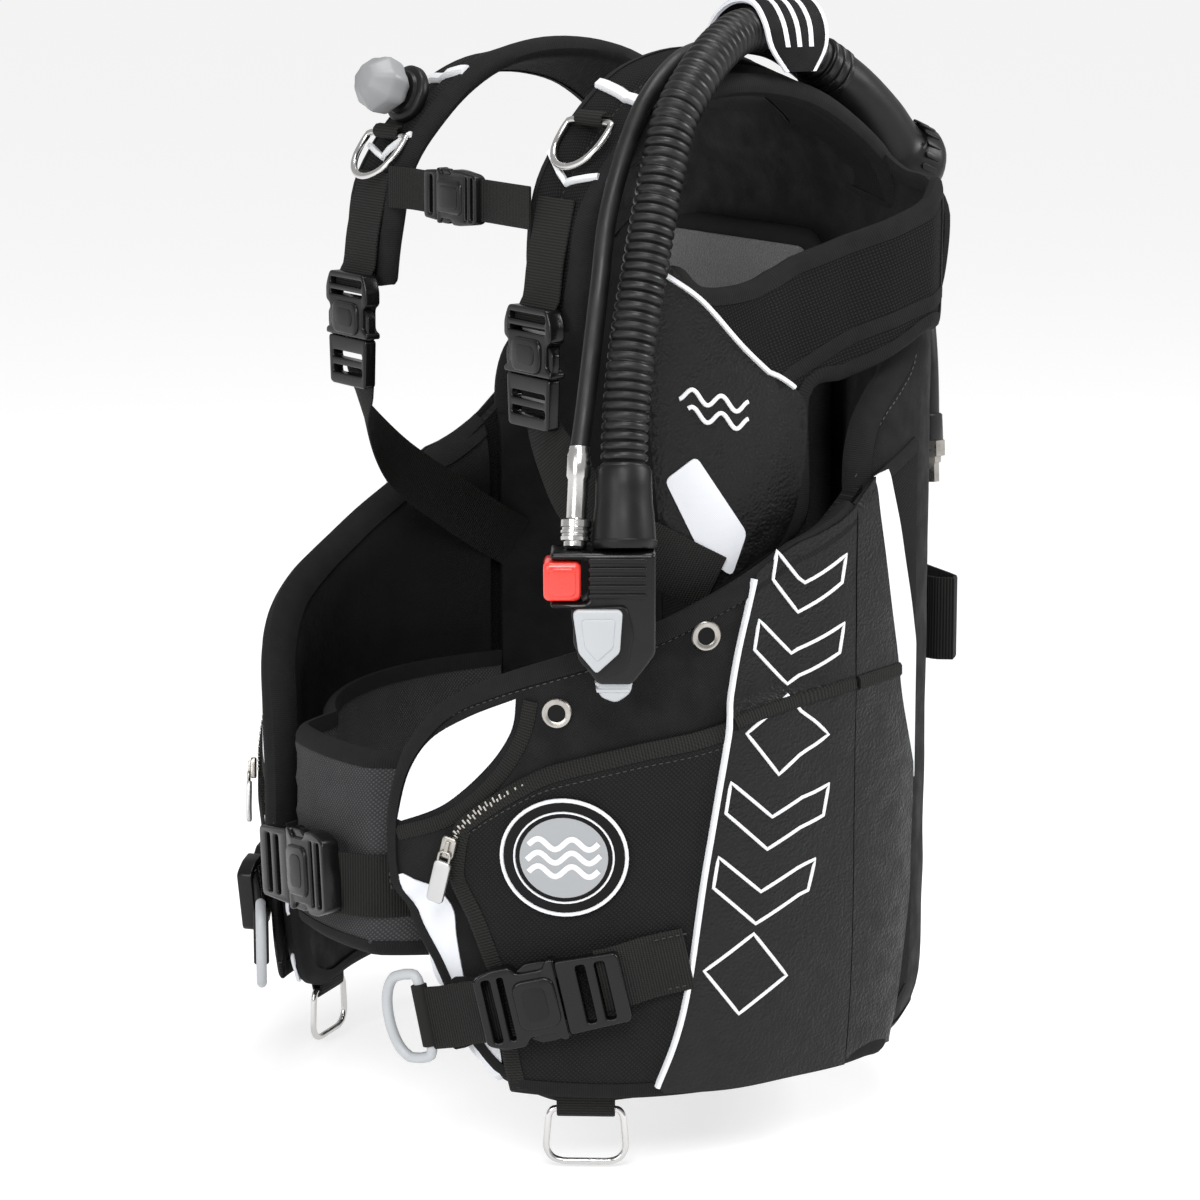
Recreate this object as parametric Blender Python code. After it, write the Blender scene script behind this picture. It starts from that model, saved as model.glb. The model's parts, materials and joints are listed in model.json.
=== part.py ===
"""Buoyancy compensator vest: the design model.

The vest is drawn in body coordinates: x to the wearer's left, y to the wearer's back, h up from
the lowest point of the hem rings, with the torso axis at x = y = 0. `at` turns them into the
part's frame, whose origin is the flat tank pad in the middle of the backpack plate.
Fabric that goes round the torso is drawn by angle (0 = front centre, + = wearer's left),
height and distance from the torso axis.
"""
import bpy
import bmesh
import math
from mathutils import Matrix, Vector

# Driving dimensions, metres and degrees
PAD_Y = 0.186              # tank pad, behind the torso axis
PAD_H = 0.400              # tank pad, above the hem rings
BACK_DEPTH = 0.80          # depth of the back half of the torso ring, per unit of its radius
BACK_SQUARENESS = 2.6      # superellipse exponent of the back half
HEM_TUCK = 0.05            # how much the ring narrows at the hem
HEM_TUCK_START = 0.15
GAP = 0.0004               # air between pieces that touch
STEP = 5.5                 # widest angle between two columns of a wall
SEAM_ANGLE = 98.0          # side seam that a front lobe swings on
LOBE_IN = 0.182
LOBE_LOW_OUT = 0.198       # behind the cargo pocket
LOBE_HIGH_OUT = 0.2075     # above the cargo pocket
LOBE_RISE_START = 0.022    # the lobe thickens from this far under the pocket's top line
LOBE_RISE = 0.020
POUCH_IN, POUCH_OUT = 0.1990, 0.2068
POCKET_IN, POCKET_OUT = 0.2086, 0.2130
STRAP_OUT = 0.2156
ZIP_RADIUS = 0.2140
WEBBING = 0.0017           # thickness
WIDE_WEB, SLIM_WEB = 0.038, 0.025
CUMMERBUND = 0.0068        # thickness of the waistband
WAIST_H = 0.156
HOSE_RADIUS = 0.0135
LP_RADIUS = 0.0055
INFLATOR_ANGLE = 57.0
INFLATOR_BACK, INFLATOR_FRONT = 0.219, 0.249
BUTTON_TRAVEL = 0.003
TAB_WIDTH = 0.034
TAB_CLEARANCE = 0.0032     # from the ring's bar to the middle of the tab's webbing

POCKET_LINE = [(24, 0.168), (31, 0.190), (41, 0.223), (48, 0.239), (57, 0.254),
               (69, 0.268), (79, 0.273), (94, 0.279), (110, 0.284)]


def at(x, y, h):
    return Vector((x, y - PAD_Y, h - PAD_H))


def between(table, angle):
    """Read a piecewise linear table of (angle, value, ...) at an angle."""
    if angle <= table[0][0]:
        return table[0][1:]
    for low, high in zip(table, table[1:]):
        if angle <= high[0]:
            t = (angle - low[0]) / (high[0] - low[0])
            return tuple(a + (b - a) * t for a, b in zip(low[1:], high[1:]))
    return table[-1][1:]


def tuck(h):
    below = max(0.0, (HEM_TUCK_START - h) / HEM_TUCK_START)
    return 1 - HEM_TUCK * below ** 2


def wrap(angle, h, r):
    """The point at this angle, height and ring radius."""
    a = math.radians(angle)
    s, c = math.sin(a), math.cos(a)
    r = r * tuck(h)
    if c >= 0:
        return at(r * s, -r * c, h)
    power = 2 / BACK_SQUARENESS
    x = math.copysign(abs(s) ** power, s) * r
    return at(x, BACK_DEPTH * r * abs(c) ** power, h)


def outward(angle):
    a = math.radians(angle)
    return Vector((math.sin(a), -math.cos(a), 0))


def leftward(angle):
    a = math.radians(angle)
    return Vector((math.cos(a), math.sin(a), 0))


def frame(origin, x_dir, z_dir):
    """Matrix with the given X, and Z as near z_dir as square corners allow."""
    x = Vector(x_dir).normalized()
    y = Vector(z_dir).cross(x).normalized()
    z = x.cross(y)
    matrix = Matrix((x, y, z)).transposed().to_4x4()
    matrix.translation = origin
    return matrix


def material(name, color, roughness, metallic=0.0):
    found = bpy.data.materials.get(name)
    if found:
        return found
    made = bpy.data.materials.new(name)
    made.use_nodes = True
    shader = made.node_tree.nodes["Principled BSDF"]
    shader.inputs["Base Color"].default_value = (*color, 1)
    shader.inputs["Roughness"].default_value = roughness
    shader.inputs["Metallic"].default_value = metallic
    return made


def black_fabric():
    return material("black_fabric", (0.012, 0.012, 0.013), 0.85)


def grained_skin():
    return material("grained_skin", (0.015, 0.015, 0.016), 0.55)


def grey_cordura():
    return material("grey_cordura", (0.07, 0.07, 0.075), 0.9)


def webbing_black():
    return material("webbing_black", (0.02, 0.019, 0.018), 0.8)


def black_plastic():
    return material("black_plastic", (0.01, 0.01, 0.01), 0.3)


def rubber():
    return material("rubber", (0.015, 0.015, 0.015), 0.55)


def steel():
    return material("steel", (0.6, 0.6, 0.6), 0.25, 1.0)


def pale_plastic():
    return material("pale_plastic", (0.62, 0.64, 0.66), 0.4)


def red_plastic():
    return material("red_plastic", (0.75, 0.04, 0.03), 0.3)


def link(name, data, mat):
    obj = bpy.data.objects.new(name, data)
    bpy.context.scene.collection.objects.link(obj)
    data.materials.append(mat)
    return obj


def mesh_object(name, mat, verts, faces, sharp=35):
    mesh = bpy.data.meshes.new(name)
    mesh.from_pydata([tuple(v) for v in verts], [], faces)
    bm = bmesh.new()
    bm.from_mesh(mesh)
    bmesh.ops.recalc_face_normals(bm, faces=bm.faces)
    bm.to_mesh(mesh)
    bm.free()
    mesh.shade_smooth()
    mesh.set_sharp_from_angle(angle=math.radians(sharp))
    return link(name, mesh, mat)


def pivot(obj, point):
    """Put the object's origin on its joint, leaving its shape where it is."""
    obj.data.transform(Matrix.Translation(-point))
    obj.location = point
    return obj


def loft(name, mat, loops, closed=False, sharp=35):
    """A solid through loops of equally many points; its ends are capped unless it closes."""
    count = len(loops[0])
    verts = [p for loop in loops for p in loop]
    faces = []
    spans = len(loops) if closed else len(loops) - 1
    for i in range(spans):
        j = (i + 1) % len(loops)
        for k in range(count):
            m = (k + 1) % count
            faces.append((i * count + k, i * count + m, j * count + m, j * count + k))
    if not closed:
        faces.append(tuple(range(count)))
        faces.append(tuple((len(loops) - 1) * count + k for k in range(count)))
    return mesh_object(name, mat, verts, faces, sharp)


def fractions(*shares):
    return lambda angle, low, high: [low + (high - low) * v for v in shares]


def wall(name, mat, columns, rows, inner, outer):
    """A curved panel. columns: (angle, low, high); rows gives a column's heights, and inner
    and outer the radius at an angle and height."""
    angles = [columns[0][0]]
    for low, high in zip(columns, columns[1:]):
        parts = max(1, math.ceil((high[0] - low[0]) / STEP))
        angles += [low[0] + (high[0] - low[0]) * (i + 1) / parts for i in range(parts)]
    loops = []
    for angle in angles:
        low, high = between(columns, angle)
        heights = rows(angle, low, high)
        front = [wrap(angle, h, outer(angle, h)) for h in heights]
        back = [wrap(angle, h, inner(angle, h)) for h in reversed(heights)]
        loops.append(front + back)
    return loft(name, mat, loops)


def ribbon(name, mat, stations, thick, crown=0.0, closed=False):
    """A strap or pad. stations: (centre, side direction, width). crown rounds its two edges."""
    centres = [s[0] for s in stations]
    loops = []
    last = len(stations) - 1
    for i, (centre, side, width) in enumerate(stations):
        ahead = centres[(i + 1) % len(centres)] if closed else centres[min(i + 1, last)]
        behind = centres[i - 1] if closed else centres[max(i - 1, 0)]
        side = Vector(side).normalized()
        up = (ahead - behind).cross(side).normalized()
        half, t = width / 2, thick / 2
        rim = t * (1 - crown)
        flat = half - crown * thick
        shape = [(-half, -rim), (-flat, -t), (flat, -t), (half, -rim),
                 (half, rim), (flat, t), (-flat, t), (-half, rim)]
        if crown == 0:
            shape = [(-half, -t), (half, -t), (half, t), (-half, t)]
        loops.append([centre + side * a + up * b for a, b in shape])
    return loft(name, mat, loops, closed)


def turned(name, mat, stations, sides=20):
    """Circles strung along a route. stations: (centre, radius)."""
    loops = []
    last = len(stations) - 1
    side = None
    for i, (centre, radius) in enumerate(stations):
        along = (stations[min(i + 1, last)][0] - stations[max(i - 1, 0)][0]).normalized()
        if side is None:
            side = along.orthogonal().normalized()
        side = (side - along * side.dot(along)).normalized()
        other = along.cross(side)
        turn = [2 * math.pi * k / sides for k in range(sides)]
        loops.append([centre + side * radius * math.cos(a) + other * radius * math.sin(a)
                      for a in turn])
    return loft(name, mat, loops)


def box(name, mat, low, high, matrix=Matrix()):
    corners = [[(x, y) for x, y in ((low[0], low[1]), (high[0], low[1]),
                                    (high[0], high[1]), (low[0], high[1]))]] * 2
    loops = [[matrix @ Vector((x, y, z)) for x, y in ring] for ring, z in zip(corners, (low[2], high[2]))]
    return loft(name, mat, loops)


def plate(name, mat, outline, low, high, matrix):
    """An outline in the matrix's XY plane, extruded along its Z from low to high."""
    loops = [[matrix @ Vector((x, y, z)) for x, y in outline] for z in (low, high)]
    return loft(name, mat, loops)


def apply(obj):
    """Replace the object's mesh by what its modifiers make of it."""
    bpy.context.view_layer.update()
    graph = bpy.context.evaluated_depsgraph_get()
    made = bpy.data.meshes.new_from_object(obj.evaluated_get(graph))
    obj.modifiers.clear()
    obj.data = made
    made.shade_smooth()
    made.set_sharp_from_angle(angle=math.radians(35))
    return obj


def combine(obj, other, operation):
    """Join or cut with another solid, which is then thrown away."""
    modifier = obj.modifiers.new(operation.lower(), "BOOLEAN")
    modifier.operation = operation
    modifier.object = other
    apply(obj)
    bpy.data.objects.remove(other)
    return obj


def cut(obj, low, high, matrix):
    return combine(obj, box("cutter", black_plastic(), low, high, matrix), "DIFFERENCE")


def soften(obj, width):
    """Round the edges of a hard piece."""
    modifier = obj.modifiers.new("bevel", "BEVEL")
    modifier.width = width
    modifier.segments = 1
    modifier.limit_method = "ANGLE"
    modifier.angle_limit = math.radians(40)
    return apply(obj)


def smooth_route(points, spacing):
    """Points a spacing apart on a smooth curve through the given ones."""
    route = []
    ends = [points[0]] + points + [points[-1]]
    for a, b, c, d in zip(ends, ends[1:], ends[2:], ends[3:]):
        parts = max(1, round((c - b).length / spacing))
        for i in range(parts):
            t = i / parts
            route.append(0.5 * ((2 * b) + (c - a) * t + (2 * a - 5 * b + 4 * c - d) * t ** 2
                                + (3 * b - a - 3 * c + d) * t ** 3))
    route.append(points[-1])
    return route


def cord(name, mat, points, radius, resolution, closed=False):
    """A round cord or a bent wire through the points."""
    curve = bpy.data.curves.new(name, "CURVE")
    curve.dimensions = "3D"
    curve.bevel_depth = radius
    curve.bevel_resolution = resolution
    curve.use_fill_caps = not closed
    spline = curve.splines.new("POLY")
    spline.points.add(len(points) - 1)
    for target, point in zip(spline.points, points):
        target.co = (*point, 1)
    spline.use_cyclic_u = closed
    return link(name, curve, mat)


def mirrored(obj):
    """The wearer's right-hand copy of a left-hand piece."""
    data = obj.data.copy()
    data.transform(Matrix.Scale(-1, 4, (1, 0, 0)))
    if obj.type == "MESH":
        data.flip_normals()
    name = obj.name.replace("left_", "right_")
    data.name = name
    twin = bpy.data.objects.new(name, data)
    bpy.context.scene.collection.objects.link(twin)
    twin.location = (-obj.location.x, obj.location.y, obj.location.z)
    return twin


# Front lobes, cargo pockets and weight pouches

def lobe_outer(angle, h):
    """The lobe is thinner behind the pocket, which leaves room for the weight pouch."""
    line = between(POCKET_LINE, angle)[0]
    rise = min(1.0, max(0.0, (h - line + LOBE_RISE_START) / LOBE_RISE))
    return LOBE_LOW_OUT + (LOBE_HIGH_OUT - LOBE_LOW_OUT) * rise


def left_lobe():
    columns = [(24, 0.150, 0.228), (26, 0.136, 0.247), (30, 0.113, 0.268), (34.5, 0.080, 0.281),
               (40, 0.056, 0.291), (47, 0.045, 0.300), (56, 0.041, 0.310), (65, 0.042, 0.322),
               (74, 0.045, 0.337), (84, 0.048, 0.355), (92, 0.049, 0.372),
               (SEAM_ANGLE, 0.049, 0.387)]

    def rows(angle, low, high):
        step = between(POCKET_LINE, angle)[0] - LOBE_RISE_START
        low_edge, last = low + 0.004, high - 0.008
        marks = [0.100, 0.150, step, step + LOBE_RISE]
        return [low] + [min(max(h, low_edge + 0.003 * i), last + 0.001 * i)
                        for i, h in enumerate(marks)] + [high]

    lobe = wall("left_lobe", black_fabric(), columns, rows, lambda a, h: LOBE_IN, lobe_outer)
    combine(lobe, ring_tab(), "UNION")
    return pivot(lobe, seam_axis())


def ring_tab():
    """Webbing loop under the hem that holds the bottom ring."""
    matrix = bottom_ring_frame()
    loop = [(-TAB_CLEARANCE, 0.011), (-TAB_CLEARANCE, 0.0), (-0.0018, -0.0026),
            (0.0018, -0.0026), (TAB_CLEARANCE, 0.0), (TAB_CLEARANCE, 0.011)]
    stations = [(matrix @ Vector((0, up, out)), matrix.to_3x3() @ Vector((1, 0, 0)), TAB_WIDTH)
                for out, up in loop]
    return ribbon("ring_tab", webbing_black(), stations, 0.0014, closed=True)


def seam_axis():
    """The side seam, on the lobe's outer skin."""
    return wrap(SEAM_ANGLE + 1.2, 0.20, LOBE_HIGH_OUT + 0.004)


def left_cargo_pocket():
    columns = [(38.5, 0.063, 0.208), (42, 0.058, 0.221), (48, 0.052, 0.234), (57, 0.047, 0.249),
               (69, 0.047, 0.263), (79, 0.048, 0.268), (89, 0.050, 0.271), (97, 0.050, 0.274)]

    def rows(angle, low, high):
        return [low, low + 0.006, low + 0.012, 0.100, 0.130, 0.160, high - 0.022, high - 0.012, high]

    def inner(angle, h):
        low, high = between(columns, angle)
        if h > high - 0.013:
            return LOBE_HIGH_OUT + 0.0006
        at_hem = h < low + 0.007
        at_seam = angle > 92 and h < high - 0.030
        return lobe_outer(angle, h) + 0.0012 if at_hem or at_seam else POCKET_IN

    return wall("left_cargo_pocket", black_fabric(), columns, rows, inner,
                lambda a, h: POCKET_OUT)


def left_weight_pouch():
    """The pouch, and at its mouth the folded webbing that carries the release buckle."""
    columns = [(30.6, 0.068, 0.110), (37.4, 0.075, 0.117), (37.7, 0.085, 0.139), (42, 0.085, 0.140),
               (48, 0.085, 0.157), (52, 0.085, 0.168), (60, 0.085, 0.186), (77, 0.085, 0.190)]
    pouch = wall("left_weight_pouch", black_fabric(), columns, fractions(0, 0.5, 1),
                 lambda a, h: POUCH_IN, lambda a, h: STRAP_OUT if a < 37.5 else POUCH_OUT)
    return pivot(pouch, at(0, 0, 0.11))


def buckle(socket_name, plug_name, matrix, length, width, thick, reach=0.17):
    """A side-release buckle. X runs from the socket's strap end to the plug's strap end."""
    mouth = 0.06 * length
    socket = box(socket_name, black_plastic(), (-length / 2, -width / 2, 0),
                 (mouth, width / 2, thick), matrix)
    soften(socket, 0.0015)
    cut(socket, (-0.30 * length, -width / 2 + 0.003, 0.16 * thick),
        (mouth + 0.01, width / 2 - 0.003, 0.84 * thick), matrix)
    cut(socket, (-0.44 * length, -0.40 * width, -0.01), (-0.385 * length, 0.40 * width, 0.03), matrix)
    base = mouth + GAP
    plug = box(plug_name, black_plastic(), (base, -0.46 * width, 0.08 * thick),
               (length / 2, 0.46 * width, 0.92 * thick), matrix)
    soften(plug, 0.0012)
    tongue = [(base + 0.002, -0.30 * width), (base + 0.002, 0.30 * width),
              (mouth - reach * length * 0.6, 0.33 * width), (mouth - reach * length, 0.22 * width),
              (mouth - reach * length, -0.22 * width), (mouth - reach * length * 0.6, -0.33 * width)]
    combine(plug, plate("tongue", black_plastic(), tongue, 0.38 * thick, 0.62 * thick, matrix), "UNION")
    cut(plug, (0.36 * length, -0.38 * width, -0.01), (0.415 * length, 0.38 * width, 0.03), matrix)
    return socket, plug


def weight_buckle_frame():
    """The weight strap climbs towards the back; its buckle lies on the pocket."""
    tilt = math.radians(13)
    along = leftward(50) * math.cos(tilt) + Vector((0, 0, math.sin(tilt)))
    return frame(wrap(50, 0.110, POCKET_OUT + 0.0035), along, outward(50))


def left_weight_buckle():
    return buckle("left_weight_socket", "left_weight_plug", weight_buckle_frame(),
                  0.086, 0.048, 0.012)


def wire_loop(name, outline, radius, matrix, mat=None):
    points = [matrix @ Vector((x, y, 0)) for x, y in outline]
    return cord(name, mat or steel(), points, radius, 2, closed=True)


def d_outline(width, depth, flat):
    """A D ring: a straight bar on the Y axis, and a round bow out to -depth."""
    half = width / 2
    bow = [(-flat - (depth - flat) * math.sin(math.radians(a)), half * math.cos(math.radians(a)))
           for a in range(20, 161, 20)]
    return [(0, half * 0.92), (-flat * 0.6, half)] + bow + [(-flat * 0.6, -half), (0, -half * 0.92)]


def left_pull_ring():
    tilt = math.radians(13)
    along = leftward(28.2) * math.cos(tilt) + Vector((0, 0, math.sin(tilt)))
    matrix = frame(wrap(28.2, 0.090, POCKET_OUT + 0.0005), along, outward(28.2))
    ring = wire_loop("left_pull_ring", d_outline(0.050, 0.025, 0.010), 0.0030, matrix, pale_plastic())
    return pivot(ring, matrix.translation)


def bottom_ring_frame():
    """On the ring's top bar: X along it, Y up, Z away from the wearer."""
    return frame(wrap(54.5, 0.0340, 0.1945), leftward(54.5), outward(54.5))


def left_bottom_ring():
    """A steel ring, wider at its foot, that hangs from the hem."""
    matrix = bottom_ring_frame()
    outline = [(-0.0195, 0), (0.0195, 0), (0.0218, -0.004), (0.0235, -0.024), (0.020, -0.030),
               (0.014, -0.032), (-0.014, -0.032), (-0.020, -0.030), (-0.0235, -0.024), (-0.0218, -0.004)]
    ring = wire_loop("left_bottom_ring", outline, 0.0018, matrix)
    return pivot(ring, matrix.translation)


def zip_circle():
    """The zip climbs round the lobe on a tilted circle, through its two ends and its middle."""
    a, b, c = wrap(32, 0.197, ZIP_RADIUS), wrap(62, 0.267, ZIP_RADIUS), wrap(94, 0.292, ZIP_RADIUS)
    normal = (b - a).cross(c - a).normalized()
    if normal.z < 0:
        normal = -normal
    ab, ac = b - a, c - a
    across = ab.cross(ac)
    centre = a + (across.cross(ab) * ac.length_squared
                  + ac.cross(across) * ab.length_squared) / (2 * across.length_squared)
    return centre, normal


def left_zip_pull():
    centre, normal = zip_circle()
    start = wrap(32, 0.197, ZIP_RADIUS)
    out = (start - centre).normalized()
    along = normal.cross(out)
    matrix = frame(start, along, out)
    pull = plate("left_zip_pull", pale_plastic(), [(-0.007, -0.005), (0.006, -0.005), (0.008, 0),
                 (0.006, 0.005), (-0.007, 0.005)], -0.0022, 0.0022, matrix)
    drop = frame(start, Vector((0, 0, -1)) - leftward(32) * 0.5, outward(32))
    tab = plate("tab", pale_plastic(), [(0.000, -0.003), (0.022, -0.005), (0.026, 0), (0.022, 0.005),
                (0.000, 0.003)], 0.0006, 0.0030, drop)
    combine(pull, tab, "UNION")
    return pivot(pull, centre)


# Air cell, back, chest panels and waist

def air_cell():
    left = [(101.5, 0.049, 0.432), (108, 0.050, 0.448), (114, 0.052, 0.460), (120, 0.054, 0.474),
            (126, 0.056, 0.500), (134, 0.058, 0.524), (146, 0.060, 0.540), (180, 0.060, 0.546)]
    right = [(360 - a, low, high) for a, low, high in reversed(left[:-1])]

    def inner(angle, h):
        away = abs(180 - angle)
        return 0.162 if away < 34 else 0.162 + (0.187 - 0.162) * min(1, (away - 34) / 34)

    return wall("air_cell", black_fabric(), left + right, fractions(0, 0.5, 1), inner,
                lambda a, h: 0.2120)


def left_chest_panel():
    """The leather panel on the wearer's left only, which carries on into the collar behind."""
    columns = [(62, 0.388, 0.528), (66, 0.370, 0.524), (72, 0.345, 0.516), (78, 0.330, 0.511),
               (86, 0.330, 0.514), (94, 0.335, 0.520), (97, 0.446, 0.526), (103, 0.456, 0.534),
               (108, 0.464, 0.541), (114, 0.475, 0.550), (118, 0.483, 0.557), (124, 0.490, 0.566)]
    radius = [(94, 0.1685), (103, 0.183), (110, 0.200), (118, 0.2135)]
    wall("left_chest_panel", grained_skin(), columns, fractions(0, 0.5, 1),
         lambda a, h: between(radius, a)[0], lambda a, h: between(radius, a)[0] + 0.0065)


def back_pad():
    """Padded cushion against the wearer's back, with rounded top corners."""
    half = 0.088
    outline = [(-half + 0.012, 0.190), (half - 0.012, 0.190), (half, 0.215), (half, 0.430),
               (0.072, 0.495), (0.052, 0.520), (0.028, 0.528), (-0.028, 0.528),
               (-0.052, 0.520), (-0.072, 0.495), (-half, 0.430), (-half, 0.215)]
    loops = []
    for y, shrink in ((0.0985, 0.94), (0.102, 1.0), (0.112, 1.0), (0.1145, 0.97)):
        loops.append([at(x * shrink, y, 0.36 + (h - 0.36) * shrink) for x, h in outline])
    return loft("back_pad", black_fabric(), loops)


def waist_radius(angle):
    """Inside of the waistband, which comes forward between the two lobes."""
    bulge = min(1.0, max(0.0, (22.0 - abs(angle)) / 9.0))
    return 0.1640 + 0.025 * bulge


def cummerbund():
    columns = [(-98, 0.118, 0.232), (-22, 0.113, 0.236), (-13, 0.113, 0.236), (13, 0.113, 0.236),
               (22, 0.113, 0.236), (98, 0.118, 0.232)]
    return wall("cummerbund", grey_cordura(), columns, fractions(0, 0.5, 1),
                lambda a, h: waist_radius(a), lambda a, h: waist_radius(a) + CUMMERBUND)


def waist_belt(name, angles):
    low, high = WAIST_H - WIDE_WEB / 2, WAIST_H + WIDE_WEB / 2
    under = CUMMERBUND + 2 * GAP
    return wall(name, webbing_black(), [(a, low, high) for a in angles], fractions(0, 1),
                lambda a, h: waist_radius(a) + under, lambda a, h: waist_radius(a) + under + WEBBING)


def waist_buckle():
    tilt = math.radians(6)
    along = -leftward(-4) * math.cos(tilt) - Vector((0, 0, math.sin(tilt)))
    matrix = frame(wrap(-4, WAIST_H, 0.2005), along, outward(-4))
    return buckle("waist_socket", "waist_plug", matrix, 0.092, 0.050, 0.013)


# Backpack plate, handle and tank band

def backpack_plate():
    matrix = frame(at(0, 0.1725, 0), (1, 0, 0), (0, 1, 0))
    outline = [(-0.070, 0.120), (0.070, 0.120), (0.085, 0.140), (0.085, 0.440),
               (0.060, 0.500), (-0.060, 0.500), (-0.085, 0.440), (-0.085, 0.140)]
    outline = [(x, -h) for x, h in reversed(outline)]
    shell = plate("backpack_plate", black_plastic(), outline, 0, 0.008, matrix)
    pad = box("tank_pad", black_plastic(), (-0.045, -0.455, 0.004), (0.045, -0.345, 0.0135), matrix)
    combine(shell, pad, "UNION")
    cut(shell, (-0.035, -0.235, -0.01), (0.035, -0.160, 0.03), matrix)
    return shell


def carry_handle():
    path = [(-0.046, 0.505), (-0.044, 0.528), (-0.030, 0.545), (0, 0.551),
            (0.030, 0.545), (0.044, 0.528), (0.046, 0.505)]
    stations = [(at(x, 0.1795, h), (0, 1, 0), 0.016) for x, h in path]
    handle = ribbon("carry_handle", webbing_black(), stations, 0.007, crown=0.3)
    return pivot(handle, at(0, 0.1795, 0.505))


def tank_band():
    """Slack band: a flattened loop behind the plate."""
    loop = [(-0.080, 0.1825), (0, 0.1825), (0.080, 0.1825), (0.100, 0.1860), (0.1055, 0.1930),
            (0.100, 0.1990), (0.070, 0.2050), (0.035, 0.2110), (0, 0.2120), (-0.035, 0.2110),
            (-0.070, 0.2050), (-0.100, 0.1990), (-0.1055, 0.1930), (-0.100, 0.1860)]
    stations = [(at(x, y, 0.285), (0, 0, 1), 0.056) for x, y in loop]
    return ribbon("tank_band", webbing_black(), stations, 0.003, closed=True)


def cam_buckle():
    matrix = frame(at(0, 0.2142, 0.285), (1, 0, 0), (0, 1, 0))
    box("cam_plate", steel(), (-0.034, -0.027, 0), (0.034, 0.027, 0.0025), matrix)
    outline = [(-0.032, -0.023), (0.020, -0.021), (0.030, -0.014), (0.030, 0.014),
               (0.020, 0.021), (-0.032, 0.023)]
    lever = plate("cam_lever", black_plastic(), outline, 0.0032, 0.0085, matrix)
    soften(lever, 0.0012)
    pivot(lever, at(-0.032, 0.2142 + 0.006, 0.285))


# Shoulders

SHOULDER = [(0.098, 0.121, 0.5535, 0.100), (0.100, 0.103, 0.588, 0.098),
            (0.100, 0.060, 0.620, 0.088), (0.100, 0.012, 0.629, 0.078),
            (0.101, -0.030, 0.621, 0.070), (0.103, -0.062, 0.597, 0.066),
            (0.104, -0.0885, 0.562, 0.062), (0.105, -0.0970, 0.522, 0.058), (0.105, -0.0975, 0.492, 0.046)]


def left_shoulder_pad():
    stations = [(at(x, y, h), (1, 0, -0.2), width) for x, y, h, width in SHOULDER]
    return ribbon("left_shoulder_pad", black_fabric(), stations, 0.012, crown=0.3)


def left_shoulder_webbing():
    path = [(0.104, -0.0980, 0.560), (0.105, -0.1055, 0.525), (0.105, -0.1070, 0.502)]
    stations = [(at(*p), (1, 0, 0), WIDE_WEB) for p in path]
    return ribbon("left_shoulder_webbing", webbing_black(), stations, WEBBING)


def left_shoulder_buckle():
    matrix = frame(at(0.105, -0.1080, 0.465), (0, 0, -1), (0, -1, 0))
    return buckle("left_shoulder_socket", "left_shoulder_plug", matrix, 0.070, 0.050, 0.012)


def side_webbing(name, path, turn_from):
    """Webbing from a shoulder buckle to the side. It faces forward before the station turn_from."""
    route = [at(*p) for p in path]
    stations = []
    for i, centre in enumerate(route):
        along = route[min(i + 1, len(route) - 1)] - route[max(i - 1, 0)]
        around = outward(math.degrees(math.atan2(path[i][0], -path[i][1])))
        normal = around if i >= turn_from else Vector((0, -1, 0))
        stations.append((centre, along.cross(normal), WIDE_WEB * 0.9))
    ribbon(name, webbing_black(), stations, WEBBING)


def left_side_webbing():
    """It ends on the chest panel."""
    side_webbing("left_side_webbing", [(0.106, -0.1055, 0.440), (0.112, -0.1050, 0.426),
                 (0.133, -0.1035, 0.411), (0.1570, -0.0920, 0.396), (0.1675, -0.0660, 0.370),
                 (0.1755, -0.0375, 0.338)], 3)


def right_side_webbing():
    """The right armhole is open, so it runs straight down to the inside of the air cell."""
    side_webbing("right_side_webbing", [(-0.106, -0.1055, 0.440), (-0.112, -0.1045, 0.427),
                 (-0.128, -0.0930, 0.405), (-0.150, -0.0560, 0.370), (-0.170, 0.000, 0.335),
                 (-0.1765, 0.038, 0.312), (-0.1772, 0.055, 0.302)], 3)


def shoulder_ring(name, x, drop):
    """A steel D ring that lies on the front of a shoulder pad, a drop below the first place."""
    down = Vector((0, -0.603, -0.798))
    matrix = frame(at(x, -0.0730, 0.6035) + down * drop, -down, (0, -0.798, 0.603))
    ring = wire_loop(name, d_outline(0.046, 0.031, 0.006), 0.0018, matrix)
    pivot(ring, matrix.translation)


# Sternum strap

def chest_strap():
    height = 0.554
    left = [(0.084, -0.1025), (0.060, -0.1020), (0.031, -0.1010)]
    stations = [(at(x, y, height), (0, 0, 1), SLIM_WEB) for x, y in left]
    ribbon("left_chest_strap", webbing_black(), stations, WEBBING)
    right = [(-0.016, -0.0975), (-0.034, -0.0975), (-0.058, -0.0975), (-0.077, -0.1025)]
    stations = [(at(x, y, height), (0, 0, 1), SLIM_WEB) for x, y in right]
    ribbon("right_chest_strap", webbing_black(), stations, WEBBING)
    matrix = frame(at(0, -0.0990, height), (-1, 0, 0), (0, -1, 0))
    buckle("chest_socket", "chest_plug", matrix, 0.060, 0.033, 0.009, reach=0.24)


# Inflation system

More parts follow.
